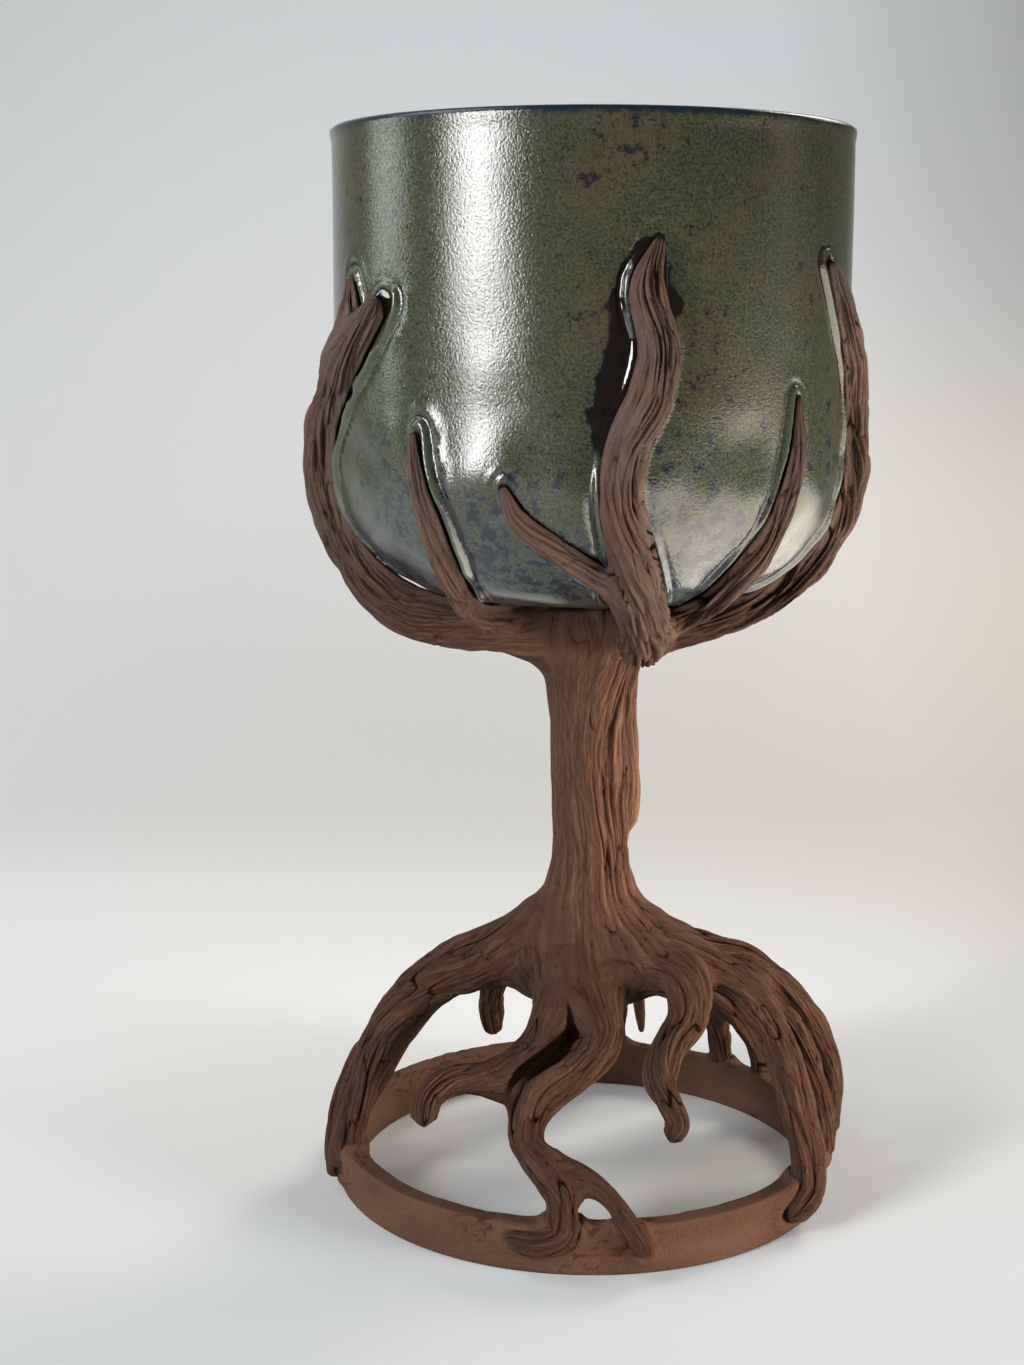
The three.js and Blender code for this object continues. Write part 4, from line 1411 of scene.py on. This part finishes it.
# %% [markdown]
# ## Bare clay
#
# The tree is red-brown stoneware, fired without glaze. It is matt and slightly gritty. Shade is painted
# into the creases, which don't shine, and the ridges are painted paler, partly as rubbed wear and partly
# as a painted highlight. Up on the cup, fumes from the glaze turned the clay purple-grey and gave it a
# faint sheen, so the branches' clay changes with its height. Two clays come from one function, since they
# differ only in that.

# %% Clay
# Sizes in mm: grit drawn coarse enough to show, strands left by the comb, and clouds of fuming
GRIT = 0.6
STRAND = 0.3
FUME_CLOUD = 8


def fired_clay(name, shades, fume_colour, fumed_over):
    """Fired stoneware: matt, gritty and fibrous, with painted shade in its creases and a painted highlight
    on its paler ridges, greyer over a range of heights.
    """
    material = new_material(name)
    tree = material.node_tree
    deep, dark, pale = shades
    place = add(tree, "ShaderNodeTexCoord", {}, "Object")
    fibre = add(tree, "ShaderNodeAttribute", {}, "Vector", attribute_name="fibre")
    painted_shade = add(tree, "ShaderNodeAttribute", {}, "Fac", attribute_name="crease_shade")
    rubbed_and_highlit = add(tree, "ShaderNodeAttribute", {}, "Fac", attribute_name="rubbed_and_highlit")
    thumbed = add(tree, "ShaderNodeAttribute", {}, "Fac", attribute_name="thumbed")
    grit = add(tree, "ShaderNodeTexNoise", {
        "Vector": place, "Scale": 1 / (GRIT * MM), "Detail": 4.0, "Roughness": 0.65,
    })
    drawn = add(tree, "ShaderNodeTexNoise", {
        "Vector": fibre, "Scale": 1 / STRAND, "Detail": 4.0, "Roughness": 0.6,
    })
    strands = add(tree, "ShaderNodeMix", {"Factor": thumbed, "A": drawn, "B": 0.5}, data_type="FLOAT")
    cloud = add(tree, "ShaderNodeTexNoise", {"Vector": place, "Scale": 1 / (FUME_CLOUD * MM), "Detail": 2.0})
    # The ridges' paleness, rubbed wear and a painted highlight, mixed with the comb's strands
    worn_and_highlit = add(tree, "ShaderNodeMath", {0: rubbed_and_highlit, 1: 0.35, 2: strands}, operation="MULTIPLY_ADD")
    streaks = add(tree, "ShaderNodeMapRange", {"Value": worn_and_highlit, "From Min": 0.38, "From Max": 0.85})
    body = add(tree, "ShaderNodeMix", {"Factor": streaks, "A": dark, "B": pale}, data_type="RGBA")
    height = add(tree, "ShaderNodeSeparateXYZ", {"Vector": place}, "Z")
    low, high = fumed_over
    rise = add(tree, "ShaderNodeMapRange", {"Value": height, "From Min": low * MM, "From Max": high * MM})
    fumed = add(tree, "ShaderNodeMath", {0: rise, 1: cloud}, operation="MULTIPLY")
    greyed = add(tree, "ShaderNodeMix", {"Factor": fumed, "A": body, "B": fume_colour}, data_type="RGBA")
    # Painted shade in the creases, cracks and hollow, mixed towards the darkest clay colour
    shade = add(tree, "ShaderNodeMapRange", {
        "Value": painted_shade, "From Min": 0.2, "From Max": 0.9, "To Max": 0.985,
    })
    colour = add(tree, "ShaderNodeMix", {"Factor": shade, "A": greyed, "B": deep}, data_type="RGBA")
    rough = add(tree, "ShaderNodeMapRange", {"Value": fumed, "To Min": 0.85, "To Max": 0.4})
    gleam = add(tree, "ShaderNodeMapRange", {
        "Value": painted_shade, "From Max": 0.8, "To Min": 0.3, "To Max": 0.0,
    })
    fine = add(tree, "ShaderNodeBump", {"Height": grit, "Strength": 0.6, "Distance": 0.3 * MM})
    torn = add(tree, "ShaderNodeBump", {
        "Height": strands, "Strength": 0.6, "Distance": 0.4 * MM, "Normal": fine,
    })
    skin = add(tree, "ShaderNodeBsdfPrincipled", {
        "Base Color": colour, "Roughness": rough, "Normal": torn, "IOR": 1.5, "Specular IOR Level": gleam,
    })
    add(tree, "ShaderNodeOutputMaterial", {"Surface": skin})
    return material


print(f"grit of {GRIT} mm and strands of {STRAND} mm")

# %% The two clays
# The painted shade in the creases, the skin, and the ridges' pale of rubbed wear and painted highlight
CLAY_SHADES = ("#0e0704", "#341e13", "#5f402d")
FUMED_CLAY = "#4a3d37"
# Heights in mm over which the clay turns: for the bare clay they lie past the rim
ABOVE_ALL = (200, 260)
UP_THE_CUP = (106, 136)
bare_clay = fired_clay("stoneware, combed and fired bare", CLAY_SHADES, CLAY_SHADES[2], ABOVE_ALL)
branch_clay = fired_clay("stoneware, fumed by the glaze", CLAY_SHADES, FUMED_CLAY, UP_THE_CUP)
print("clays:", bare_clay.name, "and", branch_clay.name)

# %% [markdown]
# ## Glaze
#
# A semi-gloss stoneware glaze, olive where it is even. Fine crystals make it grainy, so the highlight
# breaks up at its edges. It turned rust-brown in freckles, gathered blue-black specks, and broke into
# slate-blue patches low down. On the lips it ran thin, pale and glassy, in the troughs it pooled nearly
# black, and the same black paints the shadow in the gap beside each branch. At the rim it is blue-black,
# tinted bluer as a painted reflection. Each of these is mixed over the last, in the order in which they
# lie in the glaze.

# %% Glaze, its even part
GLAZE_GRAIN = 0.42
DARK_OLIVE = "#25271b"
PALE_OLIVE = "#3f4330"

glaze = new_material("stoneware glaze, olive, semi-gloss")
tree = glaze.node_tree
place = add(tree, "ShaderNodeTexCoord", {}, "Object")
height = add(tree, "ShaderNodeSeparateXYZ", {"Vector": place}, "Z")
pool_and_shadow_mark = add(tree, "ShaderNodeAttribute", {}, "Fac", attribute_name="pool")
lip_mark = add(tree, "ShaderNodeAttribute", {}, "Fac", attribute_name="lip")

# Grains seen as light and dark green and felt as bumps
grain = add(tree, "ShaderNodeTexNoise", {
    "Vector": place, "Scale": 1 / (GLAZE_GRAIN * MM), "Detail": 2.0, "Roughness": 0.6,
})
grain_share = add(tree, "ShaderNodeMapRange", {"Value": grain, "From Min": 0.36, "From Max": 0.66})
colour = add(tree, "ShaderNodeMix", {
    "Factor": grain_share, "A": DARK_OLIVE, "B": PALE_OLIVE,
}, data_type="RGBA")
print("grains of", GLAZE_GRAIN, "mm")

# %% Glaze, rust and specks
RUST_CLOUD = 14
FRECKLE = 1.1
SPECK = 2.4
RUST = "#4e3c28"
SLATE = "#36404b"
BLUE_BLACK = "#12171d"
# Heights in mm above the base where specks are fewest and where they crowd into patches
FEWEST_SPECKS = 50
MOST_SPECKS = 6

cloud = add(tree, "ShaderNodeTexNoise", {"Vector": place, "Scale": 1 / (RUST_CLOUD * MM), "Detail": 2.0})
cloud_share = add(tree, "ShaderNodeMapRange", {
    "Value": cloud, "From Min": 0.5, "From Max": 0.8, "To Max": 0.75,
})
freckle = add(tree, "ShaderNodeTexNoise", {"Vector": place, "Scale": 1 / (FRECKLE * MM), "Detail": 3.0})
freckle_share = add(tree, "ShaderNodeMapRange", {"Value": freckle, "From Min": 0.3, "From Max": 0.7})
rust = add(tree, "ShaderNodeMath", {0: cloud_share, 1: freckle_share}, operation="MULTIPLY")
colour = add(tree, "ShaderNodeMix", {"Factor": rust, "A": colour, "B": RUST}, data_type="RGBA")

low_share = add(tree, "ShaderNodeMapRange", {
    "Value": height, "From Min": (CUP_BASE + FEWEST_SPECKS) * MM, "From Max": (CUP_BASE + MOST_SPECKS) * MM,
    "To Min": -0.05, "To Max": 0.11,
})
speck = add(tree, "ShaderNodeTexNoise", {
    "Vector": place, "Scale": 1 / (SPECK * MM), "Detail": 5.0, "Roughness": 0.7,
})
crowd = add(tree, "ShaderNodeMath", {0: speck, 1: low_share}, operation="ADD")
drift = add(tree, "ShaderNodeMath", {0: cloud, 1: 0.35, 2: crowd}, operation="MULTIPLY_ADD")
slate = add(tree, "ShaderNodeMath", {0: drift, 1: low_share}, operation="ADD")
slate_share = add(tree, "ShaderNodeMapRange", {
    "Value": slate, "From Min": 0.76, "From Max": 0.9, "To Max": 0.8,
})
colour = add(tree, "ShaderNodeMix", {"Factor": slate_share, "A": colour, "B": SLATE}, data_type="RGBA")
speck_share = add(tree, "ShaderNodeMapRange", {
    "Value": drift, "From Min": 0.75, "From Max": 0.81, "To Max": 0.9,
})
colour = add(tree, "ShaderNodeMix", {"Factor": speck_share, "A": colour, "B": BLUE_BLACK}, data_type="RGBA")
print("freckles of", FRECKLE, "mm and specks of", SPECK, "mm")

# %% Glaze, lips, pools and rim
TEAR = 1.6
THIN_GLAZE = "#3f4538"
# Pooled glaze, and the painted shadow between each branch and its lip
POOL_AND_SHADOW_BLACK = "#120b06"
# The rim's blue-black glaze, tinted bluer as a painted reflection
RIM_BLUE_WITH_REFLECTION = "#12212b"
# How ragged the rim's blue-black edge is, and its heights above the rim before that, in mm
RIM_RAGGED = 4
RIM_EDGE_LOW, RIM_EDGE_HIGH = 0.3, 1.3

lip_share = add(tree, "ShaderNodeMapRange", {"Value": lip_mark, "From Min": 0.3, "From Max": 0.9})
colour = add(tree, "ShaderNodeMix", {"Factor": lip_share, "A": colour, "B": THIN_GLAZE}, data_type="RGBA")
tear = add(tree, "ShaderNodeTexNoise", {
    "Vector": place, "Scale": 1 / (TEAR * MM), "Detail": 5.0, "Roughness": 0.7,
})
# The pool mark with torn edges: pooled glaze and painted shadow
torn_pool_and_shadow = add(tree, "ShaderNodeMath", {0: pool_and_shadow_mark, 1: tear}, operation="ADD")
fringe = add(tree, "ShaderNodeMapRange", {"Value": torn_pool_and_shadow, "From Min": 0.85, "From Max": 0.93})
colour = add(tree, "ShaderNodeMix", {"Factor": fringe, "A": colour, "B": BLUE_BLACK}, data_type="RGBA")
pool_and_shadow_share = add(tree, "ShaderNodeMapRange", {"Value": torn_pool_and_shadow, "From Min": 0.97, "From Max": 1.1})
colour = add(tree, "ShaderNodeMix", {"Factor": pool_and_shadow_share, "A": colour, "B": POOL_AND_SHADOW_BLACK}, data_type="RGBA")
rim_edge = add(tree, "ShaderNodeMath", {0: tear, 1: RIM_RAGGED * MM, 2: height}, operation="MULTIPLY_ADD")
rim_share = add(tree, "ShaderNodeMapRange", {
    "Value": rim_edge, "From Min": (CUP_RIM + RIM_EDGE_LOW) * MM, "From Max": (CUP_RIM + RIM_EDGE_HIGH) * MM,
})
# The rim band: blue-black glaze with a painted blue reflection
colour = add(tree, "ShaderNodeMix", {"Factor": rim_share, "A": colour, "B": RIM_BLUE_WITH_REFLECTION}, data_type="RGBA")

glassy = add(tree, "ShaderNodeMath", {0: lip_share, 1: pool_and_shadow_share}, operation="MAXIMUM")
rough = add(tree, "ShaderNodeMapRange", {"Value": glassy, "To Min": 0.15, "To Max": 0.07})
bumps = add(tree, "ShaderNodeMapRange", {"Value": glassy, "To Min": 0.36, "To Max": 0.04})
felt = add(tree, "ShaderNodeBump", {"Height": grain, "Strength": bumps, "Distance": 0.2 * MM})
shine = add(tree, "ShaderNodeBsdfPrincipled", {
    "Base Color": colour, "Roughness": rough, "Normal": felt, "IOR": 1.65,
})
add(tree, "ShaderNodeOutputMaterial", {"Surface": shine})
print("glaze nodes:", len(tree.nodes))

# %% [markdown]
# ## Handing the pieces over
#
# Each dressed piece stands for the plain node of the same name, rides with the chalice's one body, and
# names the finish that it takes. The fired chalice has no moving parts, so every piece rides with the
# same body.

# %% Dressing
for name, piece in pieces.items():
    clay = branch_clay if name in BRANCHES else bare_clay
    piece.data.materials.append(glaze if name == "cup_bowl" else clay)
    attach(piece, "root")
    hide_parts(name)

print("dressed", len(pieces), "pieces")
